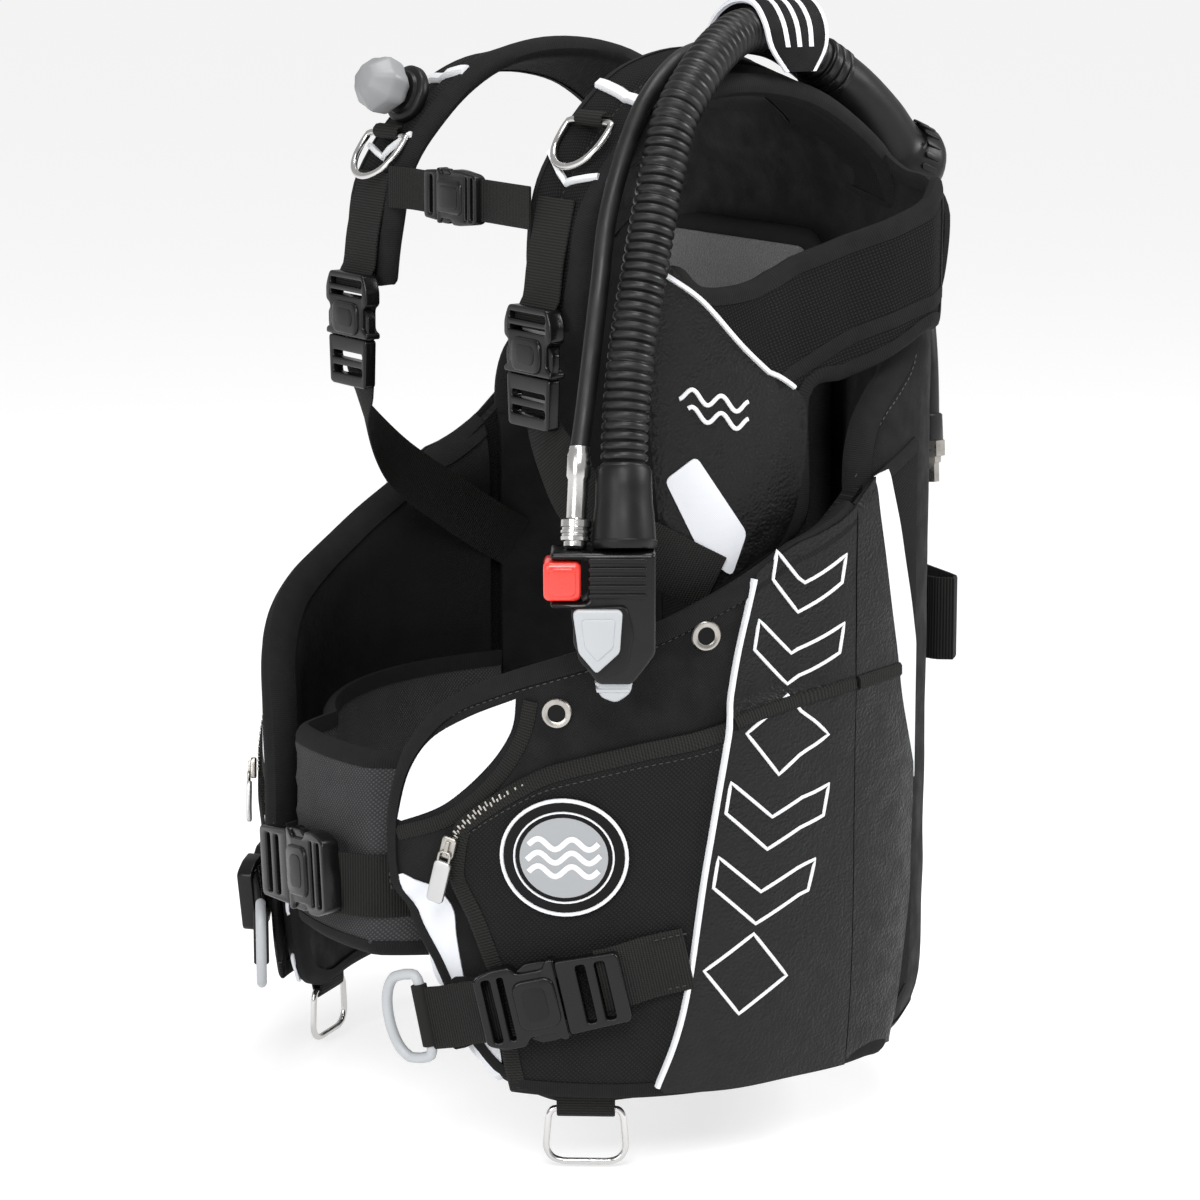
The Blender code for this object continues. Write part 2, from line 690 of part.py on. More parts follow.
HOSE = [(0.1128, 0.078, 0.6340), (0.1150, 0.061, 0.6450), (0.1170, 0.045, 0.6515),
        (0.1205, 0.022, 0.6530), (0.1310, 0.000, 0.6470), (0.1450, -0.026, 0.6320),
        (0.1550, -0.051, 0.6050), (0.1655, -0.069, 0.5640), (0.1740, -0.083, 0.5260),
        (0.1815, -0.096, 0.4865), (0.1885, -0.105, 0.4500), (0.1960, -0.1115, 0.4140)]
LP_HOSE = [(0.1780, -0.1290, 0.4290), (0.1710, -0.1200, 0.4560), (0.1610, -0.1050, 0.5150),
           (0.1490, -0.0900, 0.5600), (0.1350, -0.0620, 0.6080), (0.1230, -0.0300, 0.6350),
           (0.1085, 0.0020, 0.6430), (0.0960, 0.0330, 0.6440), (0.0900, 0.0600, 0.6400),
           (0.0800, 0.0850, 0.6300), (0.0680, 0.1150, 0.6140), (0.0630, 0.1450, 0.5960),
           (0.0615, 0.1690, 0.5680), (0.0640, 0.1765, 0.5400), (0.0770, 0.1770, 0.5150),
           (0.0940, 0.1750, 0.4850), (0.1040, 0.1725, 0.4500), (0.1080, 0.1715, 0.4060)]


def hoses():
    route = smooth_route([at(*p) for p in HOSE], 0.030)
    cord("corrugated_hose", rubber(), route, HOSE_RADIUS, 4)
    route = smooth_route([at(*p) for p in LP_HOSE], 0.016)
    cord("lp_hose", rubber(), route, LP_RADIUS, 2)
    top = at(*LP_HOSE[-1]) - Vector((0, 0, GAP))
    turned("lp_fitting", steel(), [(top, 0.0065), (top - Vector((0, 0, 0.016)), 0.0065),
           (top - Vector((0, 0, 0.0165)), 0.0080), (top - Vector((0, 0, 0.024)), 0.0080),
           (top - Vector((0, 0, 0.0245)), 0.0048), (top - Vector((0, 0, 0.034)), 0.0048)], 12)


def hose_elbow():
    """Smooth boot from the corrugated hose, and the round dump valve behind the shoulder."""
    start = at(*HOSE[0])
    back = (start - at(*HOSE[1])).normalized() * GAP
    stations = [(start + back, 0.0150), (at(0.110, 0.105, 0.617), 0.0160),
                (at(0.105, 0.128, 0.597), 0.0180), (at(0.101, 0.142, 0.581), 0.0200),
                (at(0.100, 0.149, 0.573), 0.0235), (at(0.0995, 0.163, 0.567), 0.0245),
                (at(0.099, 0.168, 0.565), 0.0200)]
    return turned("hose_elbow", rubber(), stations, 16)


def hose_flap():
    """Wrap strap over both hoses, fixed on the inner side and pointed at its free end."""
    arch = [(0.0790, 0.6390, 0.040), (0.0800, 0.6510, 0.040), (0.0910, 0.6630, 0.040),
            (0.1080, 0.6700, 0.040), (0.1260, 0.6690, 0.040), (0.1375, 0.6580, 0.040),
            (0.1415, 0.6440, 0.036), (0.1435, 0.6300, 0.014)]
    stations = [(at(x, 0.045, h), (0.06, 1, 0), width) for x, h, width in arch]
    flap = ribbon("hose_flap", black_fabric(), stations, 0.0022)
    return pivot(flap, at(0.0790, 0.045, 0.6390))


def inflator_frame():
    """X along the body to the wearer's left, Y up, Z away from the wearer."""
    origin = wrap(INFLATOR_ANGLE, PAD_H, INFLATOR_BACK)
    origin.z = -PAD_H
    return frame(origin, leftward(INFLATOR_ANGLE), outward(INFLATOR_ANGLE))


def inflator():
    matrix = inflator_frame()
    deep = INFLATOR_FRONT - INFLATOR_BACK
    outline = [(-0.0275, 0.3435), (-0.015, 0.3425), (-0.015, 0.323), (-0.010, 0.312), (-0.001, 0.300),
               (0.018, 0.300), (0.025, 0.309), (0.031, 0.3175), (0.031, 0.3745), (-0.0275, 0.3745),
               (-0.0275, 0.3705), (-0.0065, 0.3705), (-0.0065, 0.3465), (-0.0275, 0.3465)]
    body = plate("inflator_body", black_plastic(), outline, 0, deep, matrix)
    soften(body, 0.0012)
    mouth = [(-0.004, 0.3065), (0.000, 0.292), (0.009, 0.2885), (0.017, 0.294), (0.019, 0.304)]
    combine(body, plate("mouthpiece", black_plastic(), mouth, 0.006, deep - 0.004, matrix), "UNION")
    button = box("inflate_button", red_plastic(), (-0.0315, 0.3475, 0.0030),
                 (-0.0105, 0.3695, deep + 0.0025), matrix)
    soften(button, 0.0015)
    pivot(button, matrix @ Vector((-0.021, 0.3585, deep / 2)))
    shield = [(-0.0150, 0.3420), (-0.0130, 0.3440), (0.0105, 0.3440), (0.0125, 0.3420),
              (0.0110, 0.3200), (-0.0020, 0.3080), (-0.0120, 0.3200)]
    face = plate("deflate_button", pale_plastic(), shield, deep + BUTTON_TRAVEL + GAP, deep + 0.009, matrix)
    soften(face, 0.001)
    pivot(face, matrix @ Vector((-0.001, 0.326, deep + 0.005)))
    foot = matrix @ Vector((0.0135, 0.3749 + GAP, deep / 2))
    sleeve("hose_cuff", rubber(), foot, HOSE[-1], HOSE[-2],
           ((0, 0.0155), (0.004, 0.0160), (0.010, 0.0165)), ((0.012, 0.0165), (0, 0.0148)), 20)


def sleeve(name, mat, foot, end, before, rises, drops, sides):
    """A sleeve that stands on its foot and bends to meet a hose end squarely. rises go up from
    the foot and drops back from the hose end, each with its radius."""
    back = (at(*end) - at(*before)).normalized()
    tip = at(*end) + back * GAP
    stations = [(foot + Vector((0, 0, d)), r) for d, r in rises]
    stations += [(tip + back * d, r) for d, r in drops]
    return turned(name, mat, stations, sides)


def coupling():
    """Quick coupling of the low-pressure hose, with its sliding sleeve."""
    foot = inflator_frame() @ Vector((-0.0138, 0.3749 + GAP, 0.015))
    sleeve("quick_coupling", steel(), foot, LP_HOSE[0], LP_HOSE[1],
           ((0, 0.0050), (0.0200, 0.0050), (0.0205, 0.0068), (0.0265, 0.0068)),
           ((0.012, 0.0064), (0, 0.0060)), 16)
    up = Vector((0, 0, 1))
    ring = turned("coupling_sleeve", steel(), [(foot + up * d, r) for d, r in
                  ((0.0030, 0.0080), (0.0055, 0.0086), (0.0145, 0.0086), (0.0160, 0.0078))], 16)
    bore = turned("bore", steel(), [(foot + up * d, 0.0054) for d in (-0.002, 0.022)], 16)
    combine(ring, bore, "DIFFERENCE")
    pivot(ring, foot + up * 0.009)


def right_dump():
    """Shoulder dump valve and its faceted pull knob."""
    axis = Vector((0.10, -0.94, 0.32)).normalized()
    seat = at(-0.103, -0.0725, 0.6068)
    turned("right_dump_valve", black_plastic(), [(seat, 0.0175), (seat + axis * 0.005, 0.0175),
           (seat + axis * 0.008, 0.0130)], 16)
    start = seat + axis * (0.008 + GAP)
    knob = turned("right_dump_knob", pale_plastic(), [(start, 0.0110), (start + axis * 0.006, 0.0165),
                  (start + axis * 0.018, 0.0180), (start + axis * 0.030, 0.0090)], 7)
    pivot(knob, start)


def clear_scene():
    for obj in list(bpy.data.objects):
        bpy.data.objects.remove(obj)


def build():
    clear_scene()
    for make in (left_lobe, left_cargo_pocket, left_weight_pouch, left_pull_ring, left_bottom_ring,
                 left_zip_pull, left_shoulder_pad, left_shoulder_webbing):
        mirrored(make())
    left_chest_panel()
    left_side_webbing()
    right_side_webbing()
    shoulder_ring("left_shoulder_ring", 0.103, 0)
    shoulder_ring("right_shoulder_ring", -0.103, 0.025)
    for make in (left_weight_buckle, left_shoulder_buckle):
        for half in make():
            mirrored(half)
    air_cell()
    back_pad()
    cummerbund()
    waist_belt("left_waist_belt", (11.5, 13, 22, 70))
    waist_belt("right_waist_belt", (-70, -22, -19.5))
    waist_buckle()
    backpack_plate()
    carry_handle()
    tank_band()
    cam_buckle()
    chest_strap()
    hoses()
    hose_elbow()
    hose_flap()
    inflator()
    coupling()
    right_dump()


build()
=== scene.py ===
"""Looks of the buoyancy compensator vest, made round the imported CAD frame.

Everything is placed in body coordinates: x to the wearer's left, y to the wearer's back, h up
from the lowest ring, torso axis at x = y = 0. Cloth that goes round the torso is cut in a flat
pattern (u = angle from the front times RING, v = height) and laid at a radius.
"""

import json
import math

import bmesh
import bpy
import numpy as np
from mathutils import Matrix, Vector, noise
from mathutils.geometry import delaunay_2d_cdt

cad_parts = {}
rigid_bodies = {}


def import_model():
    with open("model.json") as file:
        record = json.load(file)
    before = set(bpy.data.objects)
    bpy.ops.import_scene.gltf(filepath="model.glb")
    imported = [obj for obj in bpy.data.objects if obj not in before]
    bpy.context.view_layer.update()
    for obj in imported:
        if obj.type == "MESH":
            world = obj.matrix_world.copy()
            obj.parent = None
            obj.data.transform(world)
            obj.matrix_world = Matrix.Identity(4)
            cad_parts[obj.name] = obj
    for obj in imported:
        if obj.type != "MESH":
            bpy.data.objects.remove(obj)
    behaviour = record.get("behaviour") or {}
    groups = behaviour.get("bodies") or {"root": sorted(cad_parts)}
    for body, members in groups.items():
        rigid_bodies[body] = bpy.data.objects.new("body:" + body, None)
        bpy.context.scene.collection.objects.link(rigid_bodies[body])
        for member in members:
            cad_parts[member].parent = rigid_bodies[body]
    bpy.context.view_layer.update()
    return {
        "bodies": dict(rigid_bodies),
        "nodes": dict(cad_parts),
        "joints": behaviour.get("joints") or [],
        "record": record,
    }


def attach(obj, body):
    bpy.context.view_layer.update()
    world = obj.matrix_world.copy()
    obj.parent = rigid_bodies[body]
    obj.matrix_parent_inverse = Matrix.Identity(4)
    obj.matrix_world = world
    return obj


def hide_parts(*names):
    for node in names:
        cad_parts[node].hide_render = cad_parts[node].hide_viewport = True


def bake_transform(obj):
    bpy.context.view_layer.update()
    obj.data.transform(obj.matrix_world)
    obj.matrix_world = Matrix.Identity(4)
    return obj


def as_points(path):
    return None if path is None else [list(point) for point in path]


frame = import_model()

# Driving dimensions, metres and degrees, the same as in the CAD model
PAD_Y = 0.186
PAD_H = 0.400
BACK_DEPTH = 0.80
BACK_SQUARENESS = 2.6
HEM_TUCK = 0.05
HEM_TUCK_START = 0.15
RING = 0.20                # pattern metres per radian
LOBE_LOW, LOBE_HIGH = 0.1980, 0.2078
LOBE_BACK = 0.1850
POCKET_FRONT = 0.2130
SIDE_FRONT = 0.2125
WAIST_H = 0.156
WIDE_WEB, SLIM_WEB = 0.038, 0.025
HOSE_RADIUS = 0.0135
LP_RADIUS = 0.0055
RIDGE_PITCH = 0.0056
INFLATOR_ANGLE = 57.0
INFLATOR_BACK = 0.219

# Camera and room
CAMERA_AZIMUTH, CAMERA_ELEVATION = 57.0, 11.0
CAMERA_DISTANCE = 2.5
CAMERA_TARGET_H = 0.30
CAMERA_LENS = 121.5
FLOOR_H = -0.002
SIM_FRAMES = 20

CLOTH = {"quality": 6, "mass": 0.25, "tension_stiffness": 12, "compression_stiffness": 12,
         "shear_stiffness": 8, "bending_stiffness": 0.6, "use_pressure": True, "uniform_pressure_force": 2.5}

# Sewing
SEAM_SINK = 0.0012         # how far a sewn sheet reaches into the cloth below it
STITCH_LONG, STITCH_PITCH, STITCH_WIDE = 0.0026, 0.0042, 0.0006
STITCH_FACES = [(0, 2, 3, 1), (2, 4, 5, 3), (4, 6, 7, 5), (0, 1, 7, 6), (0, 6, 4, 2), (1, 3, 5, 7)]


# Places

def at(x, y, h):
    return Vector((x, y - PAD_Y, h - PAD_H))


def tuck(h):
    below = max(0.0, (HEM_TUCK_START - h) / HEM_TUCK_START)
    return 1 - HEM_TUCK * below ** 2


def wrap(angle, h, r):
    """The point at this angle, height and ring radius, as in the CAD model."""
    a = math.radians(angle)
    s, c = math.sin(a), math.cos(a)
    r = r * tuck(h)
    if c >= 0:
        return at(r * s, -r * c, h)
    power = 2 / BACK_SQUARENESS
    return at(math.copysign(abs(s) ** power, s) * r, BACK_DEPTH * r * abs(c) ** power, h)


def ring_place(u, v, w):
    return wrap(math.degrees(u / RING), v, w)


def pattern(*points):
    """(angle, height) pairs as pattern points."""
    return [(math.radians(a) * RING, h) for a, h in points]


def outward(angle):
    a = math.radians(angle)
    return Vector((math.sin(a), -math.cos(a), 0))


def leftward(angle):
    a = math.radians(angle)
    return Vector((math.cos(a), math.sin(a), 0))


def between(table, angle):
    """Read a piecewise linear table of (angle, value, ...) at an angle."""
    if angle <= table[0][0]:
        return table[0][1:]
    for low, high in zip(table, table[1:]):
        if angle <= high[0]:
            t = (angle - low[0]) / (high[0] - low[0])
            return tuple(a + (b - a) * t for a, b in zip(low[1:], high[1:]))
    return table[-1][1:]


def axes(origin, x_dir, z_dir):
    """Matrix with the given X, and Z as near z_dir as square corners allow."""
    x = Vector(x_dir).normalized()
    y = Vector(z_dir).cross(x).normalized()
    matrix = Matrix((x, y, x.cross(y))).transposed().to_4x4()
    matrix.translation = origin
    return matrix


def ease(low, high, value):
    t = min(1.0, max(0.0, (value - low) / (high - low)))
    return t * t * (3 - 2 * t)


def smooth(points, spacing, closed=False):
    """Points about a spacing apart on a smooth curve through the given ones."""
    pts = [np.array(p, float) for p in points]
    ring = [pts[-1]] + pts + pts[:2] if closed else [pts[0]] + pts + [pts[-1]]
    route = []
    for a, b, c, d in zip(ring, ring[1:], ring[2:], ring[3:]):
        parts = max(1, round(float(np.linalg.norm((c - b)[:3])) / spacing))
        for i in range(parts):
            t = i / parts
            route.append(0.5 * (2 * b + (c - a) * t + (2 * a - 5 * b + 4 * c - d) * t ** 2
                                + (3 * b - a - 3 * c + d) * t ** 3))
    if not closed:
        route.append(pts[-1])
    return route


def straight(points, spacing):
    """Points about a spacing apart on the straight runs between the given ones."""
    route = []
    for a, b in zip(points, points[1:]):
        a, b = np.array(a, float), np.array(b, float)
        parts = max(1, round(float(np.linalg.norm(b - a)) / spacing))
        route += [a + (b - a) * i / parts for i in range(parts)]
    route.append(np.array(points[-1], float))
    return route


# Materials

class Finish:
    """A Principled material with a few procedural layers."""

    def __init__(self, name, color, roughness, metallic=0.0, specular=0.5):
        self.material = bpy.data.materials.new(name)
        self.material.use_nodes = True
        self.nodes = self.material.node_tree.nodes
        self.links = self.material.node_tree.links
        self.shader = self.nodes["Principled BSDF"]
        self.color = color
        self.set("Base Color", (*color, 1))
        self.set("Roughness", roughness)
        self.set("Metallic", metallic)
        self.set("Specular IOR Level", specular)

    def set(self, socket, value):
        self.shader.inputs[socket].default_value = value
        return self

    def node(self, kind, **inputs):
        made = self.nodes.new(kind)
        for key, value in inputs.items():
            target = made.inputs[int(key[1:])] if key[0] == "_" else made.inputs[key]
            if isinstance(value, bpy.types.NodeSocket):
                self.links.new(value, target)
            else:
                target.default_value = value
        return made

    def math(self, operation, a, b=0.0):
        made = self.node("ShaderNodeMath", _0=a, _1=b)
        made.operation = operation
        return made.outputs[0]

    def position(self):
        return self.node("ShaderNodeTexCoord").outputs["Object"]

    def cloth_axes(self):
        found = self.nodes.new("ShaderNodeUVMap")
        found.uv_map = "Cloth"
        split = self.node("ShaderNodeSeparateXYZ", _0=found.outputs[0])
        return split.outputs[0], split.outputs[1]

    def stripes(self, along_u, along_v, pitch):
        """0 to 1 waves of that pitch across the cloth."""
        u, v = self.cloth_axes()
        turn = 2 * math.pi / pitch
        mixed = self.math("ADD", self.math("MULTIPLY", u, along_u * turn),
                          self.math("MULTIPLY", v, along_v * turn))
        return self.math("MULTIPLY_ADD", self.math("SINE", mixed), 0.5)

    def noise(self, scale, detail=3.0, roughness=0.5):
        made = self.node("ShaderNodeTexNoise", Vector=self.position(), Scale=scale,
                         Detail=detail, Roughness=roughness)
        return made.outputs["Fac"]

    def tint(self, factor, dark, light):
        """Base colour between dark and light times the finish's colour."""
        ramp = self.node("ShaderNodeMix", _0=factor)
        ramp.data_type = "RGBA"
        ramp.inputs[6].default_value = (*(c * dark for c in self.color), 1)
        ramp.inputs[7].default_value = (*(min(1.0, c * light) for c in self.color), 1)
        self.links.new(ramp.outputs[2], self.shader.inputs["Base Color"])
        return self

    def wear(self, low, high, scale=60.0):
        """Roughness that wanders between low and high."""
        spread = self.node("ShaderNodeMapRange", _0=self.noise(scale), _1=0.35, _2=0.65,
                           _3=low, _4=high)
        self.links.new(spread.outputs[0], self.shader.inputs["Roughness"])
        return self

    def bump(self, height, distance, strength=1.0):
        made = self.node("ShaderNodeBump", Height=height, Distance=distance, Strength=strength)
        self.links.new(made.outputs[0], self.shader.inputs["Normal"])
        return self


FINISHES = {}


def finish(maker):
    """Make each material once."""
    def cached():
        if maker.__name__ not in FINISHES:
            FINISHES[maker.__name__] = maker().material
        return FINISHES[maker.__name__]
    return cached


def add(made, *sockets):
    total = sockets[0]
    for socket in sockets[1:]:
        total = made.math("ADD", total, socket)
    return total


@finish
def twill():
    made = Finish("twill", (0.0050, 0.0050, 0.0052), 0.80, specular=0.16)
    lines = made.stripes(0.8, 0.6, 0.0011)
    weft = made.stripes(0.6, -0.8, 0.0016)
    mixed = add(made, made.math("MULTIPLY", lines, 0.6), made.math("MULTIPLY", weft, 0.25),
                made.math("MULTIPLY", made.noise(18, 4), 0.5))
    made.tint(mixed, 0.30, 1.9).bump(mixed, 0.0004, 0.7)
    return made.wear(0.68, 0.88)


@finish
def mesh_cloth():
    made = Finish("mesh_cloth", (0.0055, 0.0055, 0.0057), 0.85, specular=0.15)
    cells = made.math("MULTIPLY", made.stripes(0.94, 0.34, 0.0019), made.stripes(-0.34, 0.94, 0.0019))
    mixed = add(made, cells, made.math("MULTIPLY", made.noise(15, 3), 0.25))
    return made.tint(mixed, 0.25, 2.6).bump(mixed, 0.0006, 0.8)


def basket_weave(name, color, specular):
    made = Finish(name, color, 0.85, specular=specular)
    over = made.stripes(0.72, 0.70, 0.0021)
    under = made.stripes(0.70, -0.72, 0.0017)
    mixed = add(made, made.math("MULTIPLY", made.math("MULTIPLY", over, under), 0.9),
                made.math("MULTIPLY", made.noise(40, 5), 0.35))
    return made.tint(mixed, 0.35, 1.75).bump(mixed, 0.0006, 0.8)


@finish
def cordura():
    return basket_weave("cordura", (0.0085, 0.0085, 0.0090), 0.18)


@finish
def grey_cordura():
    return basket_weave("grey_cordura", (0.040, 0.040, 0.042), 0.2)


@finish
def binding_tape():
    made = Finish("binding_tape", (0.0085, 0.0085, 0.0088), 0.85, specular=0.15)
    ribs = made.stripes(1.0, 0.0, 0.0013)
    mixed = add(made, made.math("MULTIPLY", ribs, 0.55), made.math("MULTIPLY", made.noise(120, 3), 0.6))
    return made.tint(mixed, 0.45, 1.5).bump(mixed, 0.0003, 0.7)


@finish
def webbing():
    made = Finish("webbing", (0.0080, 0.0078, 0.0072), 0.75, specular=0.2)
    ribs = made.stripes(1.0, 0.0, 0.0017)
    weft = made.stripes(0.35, 1.0, 0.0013)
    mixed = add(made, made.math("MULTIPLY", ribs, 0.7), made.math("MULTIPLY", weft, 0.3))
    return made.tint(mixed, 0.25, 2.2).bump(mixed, 0.0006, 0.9)


@finish
def leather():
    made = Finish("leather", (0.0040, 0.0040, 0.0042), 0.42, specular=0.26)
    cells = made.node("ShaderNodeTexVoronoi", Vector=made.position(), Scale=620.0)
    cells.feature = "SMOOTH_F1"
    creases = made.noise(160, 6, 0.65)
    grain = add(made, made.math("MULTIPLY", cells.outputs["Distance"], 0.9),
                made.math("MULTIPLY", creases, 0.7))
    return made.tint(creases, 0.6, 1.5).wear(0.34, 0.52, 90.0).bump(grain, 0.0007, 0.75)


@finish
def satin_white():
    made = Finish("satin_white", (0.70, 0.715, 0.75), 0.50, specular=0.25)
    lines = made.stripes(0.7, 0.7, 0.0009)
    return made.tint(made.noise(9, 2), 0.93, 1.06).bump(lines, 0.0002, 0.35)


@finish
def white_piping():
    made = Finish("white_piping", (0.70, 0.71, 0.73), 0.42, specular=0.3)
    return made.tint(made.noise(150, 2), 0.92, 1.06)


@finish
def thread():
    return Finish("thread", (0.020, 0.020, 0.021), 0.6).wear(0.5, 0.7)


@finish
def plush():
    made = Finish("plush", (0.085, 0.085, 0.088), 0.95, specular=0.1)
    fur = made.noise(700, 4, 0.7)
    return made.tint(fur, 0.35, 1.7).bump(fur, 0.0015, 1.0).set("Sheen Weight", 0.3)


@finish
def gloss_black():
    made = Finish("gloss_black", (0.0040, 0.0040, 0.0042), 0.24, specular=0.28)
    return made.wear(0.18, 0.32, 45.0).bump(made.noise(900, 2), 0.00006, 0.4)


@finish
def satin_black():
    made = Finish("satin_black", (0.0050, 0.0050, 0.0052), 0.40, specular=0.24)
    return made.wear(0.34, 0.46, 70.0).bump(made.noise(1200, 2), 0.0001, 0.5)


@finish
def hose_rubber():
    made = Finish("hose_rubber", (0.0060, 0.0060, 0.0062), 0.44, specular=0.35)
    return made.wear(0.34, 0.52, 80.0).bump(made.noise(500, 3), 0.0001, 0.5)


@finish
def pale_plastic():
    made = Finish("pale_plastic", (0.40, 0.415, 0.43), 0.34, specular=0.35)
    return made.tint(made.noise(30, 2), 0.95, 1.05).wear(0.28, 0.42)


@finish
def knob_plastic():
    made = Finish("knob_plastic", (0.23, 0.235, 0.24), 0.36, specular=0.3)
    return made.tint(made.noise(30, 2), 0.95, 1.05).wear(0.30, 0.44)


@finish
def red_plastic():
    made = Finish("red_plastic", (0.78, 0.035, 0.022), 0.26).set("Coat Weight", 0.4)
    return made.wear(0.20, 0.32)


@finish
def steel():
    made = Finish("steel", (0.62, 0.61, 0.60), 0.18, metallic=1.0)
    return made.wear(0.12, 0.28, 90.0)


@finish
def nickel():
    made = Finish("nickel", (0.42, 0.40, 0.37), 0.30, metallic=1.0)
    return made.tint(made.noise(200, 3), 0.7, 1.2).wear(0.22, 0.42, 120.0)


@finish
def pale_metal():
    return Finish("pale_metal", (0.50, 0.50, 0.50), 0.35, metallic=0.8).wear(0.28, 0.42, 90.0)


@finish
def badge_grey():
    return Finish("badge_grey", (0.30, 0.31, 0.32), 0.5).wear(0.42, 0.55)


@finish
def badge_black():
    return Finish("badge_black", (0.005, 0.005, 0.0055), 0.45, specular=0.12).wear(0.38, 0.5)


# Meshes

def along(path, closed=False):
    """Each point of a path with the points ahead of and behind it, and the length run so far."""
    last = len(path) - 1
    run = 0.0
    for i, p in enumerate(path):
        ahead = path[(i + 1) % len(path)] if closed else path[min(i + 1, last)]
        behind = path[i - 1] if closed else path[max(i - 1, 0)]
        if i:
            run += float(np.linalg.norm(np.array(p[:3]) - np.array(path[i - 1][:3])))
        yield p, ahead, behind, run


def around(sides):
    """Even turns round a circle, in radians."""
    return [2 * math.pi * k / sides for k in range(sides)]


def circle(centre, side, other, radius, sides):
    return [centre + (side * math.cos(a) + other * math.sin(a)) * radius for a in around(sides)]


def across_axis(axis):
    """Two directions square to an axis."""
    side = axis.orthogonal().normalized()
    return side, axis.cross(side)


def mesh_object(name, mat, verts, faces, uvs=None, sharp=40):
    mesh = bpy.data.meshes.new(name)
    mesh.from_pydata([tuple(v) for v in verts], [], faces)
    if uvs is not None:
        layer = mesh.uv_layers.new(name="Cloth")
        for loop in mesh.loops:
            layer.data[loop.index].uv = uvs[loop.vertex_index]
    bm = bmesh.new()
    bm.from_mesh(mesh)
    bmesh.ops.recalc_face_normals(bm, faces=bm.faces)
    bm.to_mesh(mesh)
    bm.free()
    mesh.shade_smooth()
    mesh.set_sharp_from_angle(angle=math.radians(sharp))
    obj = bpy.data.objects.new(name, mesh)
    bpy.context.scene.collection.objects.link(obj)
    mesh.materials.append(mat)
    return obj


def loft(name, mat, loops, uvs=None, closed=False, sharp=40):
    """A solid through loops of equally many points; its ends are capped unless it closes."""
    count = len(loops[0])
    faces = []
    for i in range(len(loops) if closed else len(loops) - 1):
        j = (i + 1) % len(loops)
        for k in range(count):
            m = (k + 1) % count
            faces.append((i * count + k, i * count + m, j * count + m, j * count + k))
    if not closed:
        faces.append(tuple(range(count)))
        faces.append(tuple((len(loops) - 1) * count + k for k in range(count)))
    flat = [p for loop in loops for p in loop]
    spread = None if uvs is None else [p for row in uvs for p in row]
    return mesh_object(name, mat, flat, faces, spread, sharp)


def join(name, *objs):
    """Several solids as one piece, each keeping its material."""
    bm = bmesh.new()
    bm.loops.layers.uv.new("Cloth")
    mats = []
    for obj in objs:
        mat = obj.data.materials[0]
        if mat not in mats:
            mats.append(mat)
        before = len(bm.faces)
        bm.from_mesh(obj.data)
        bm.faces.ensure_lookup_table()
        for face in bm.faces[before:]:
            face.material_index = mats.index(mat)
        bpy.data.objects.remove(obj)
    mesh = bpy.data.meshes.new(name)
    bm.to_mesh(mesh)
    bm.free()
    for mat in mats:
        mesh.materials.append(mat)
    made = bpy.data.objects.new(name, mesh)
    bpy.context.scene.collection.objects.link(made)
    return made


def fill(outline, cell):
    """Triangles inside an outline: (points, triangles)."""
    edge = [Vector((p[0], p[1])) for p in outline]
    ring = np.array(outline, float)
    low, high = ring.min(0), ring.max(0)
    inner = []
    rows = int((high[1] - low[1]) / (cell * 0.866)) + 1
    cols = int((high[0] - low[0]) / cell) + 2
    for j in range(rows):
        for i in range(cols):
            p = (low[0] + (i + 0.5 * (j % 2)) * cell, low[1] + (j + 0.5) * cell * 0.866)
            if inside(ring, p) and to_path(ring, p, True) > cell * 0.45:
                inner.append(Vector(p))
    loop = list(range(len(edge)))
    made = delaunay_2d_cdt(edge + inner, [], [loop], 1, 1e-7)
    return [(p.x, p.y) for p in made[0]], [tuple(f) for f in made[2]]


def inside(ring, p):
    x, y = ring[:, 0], ring[:, 1]
    x2, y2 = np.roll(x, -1), np.roll(y, -1)
    across = (y > p[1]) != (y2 > p[1])
    with np.errstate(divide="ignore", invalid="ignore"):
        hit = p[0] < (x2 - x) * (p[1] - y) / (y2 - y) + x
    return bool(np.count_nonzero(across & hit) % 2)


def to_path(path, p, closed=False):
    """Distance from p to a path of points."""
    a = path if closed else path[:-1]
    b = np.roll(path, -1, axis=0) if closed else path[1:]
    d = b - a
    q = np.array(p) - a
    length = np.maximum((d * d).sum(1), 1e-12)
    t = np.clip((q * d).sum(1) / length, 0, 1)
    away = q - d * t[:, None]
    return float(math.sqrt((away * away).sum(1).min()))


def rim_of(triangles):
    """Edges with a triangle on one side only."""
    seen = {}
    for tri in triangles:
        for i in range(3):
            pair = (tri[i], tri[(i + 1) % 3])
            if (pair[1], pair[0]) in seen:
                del seen[(pair[1], pair[0])]
            else:
                seen[pair] = True
    return list(seen)


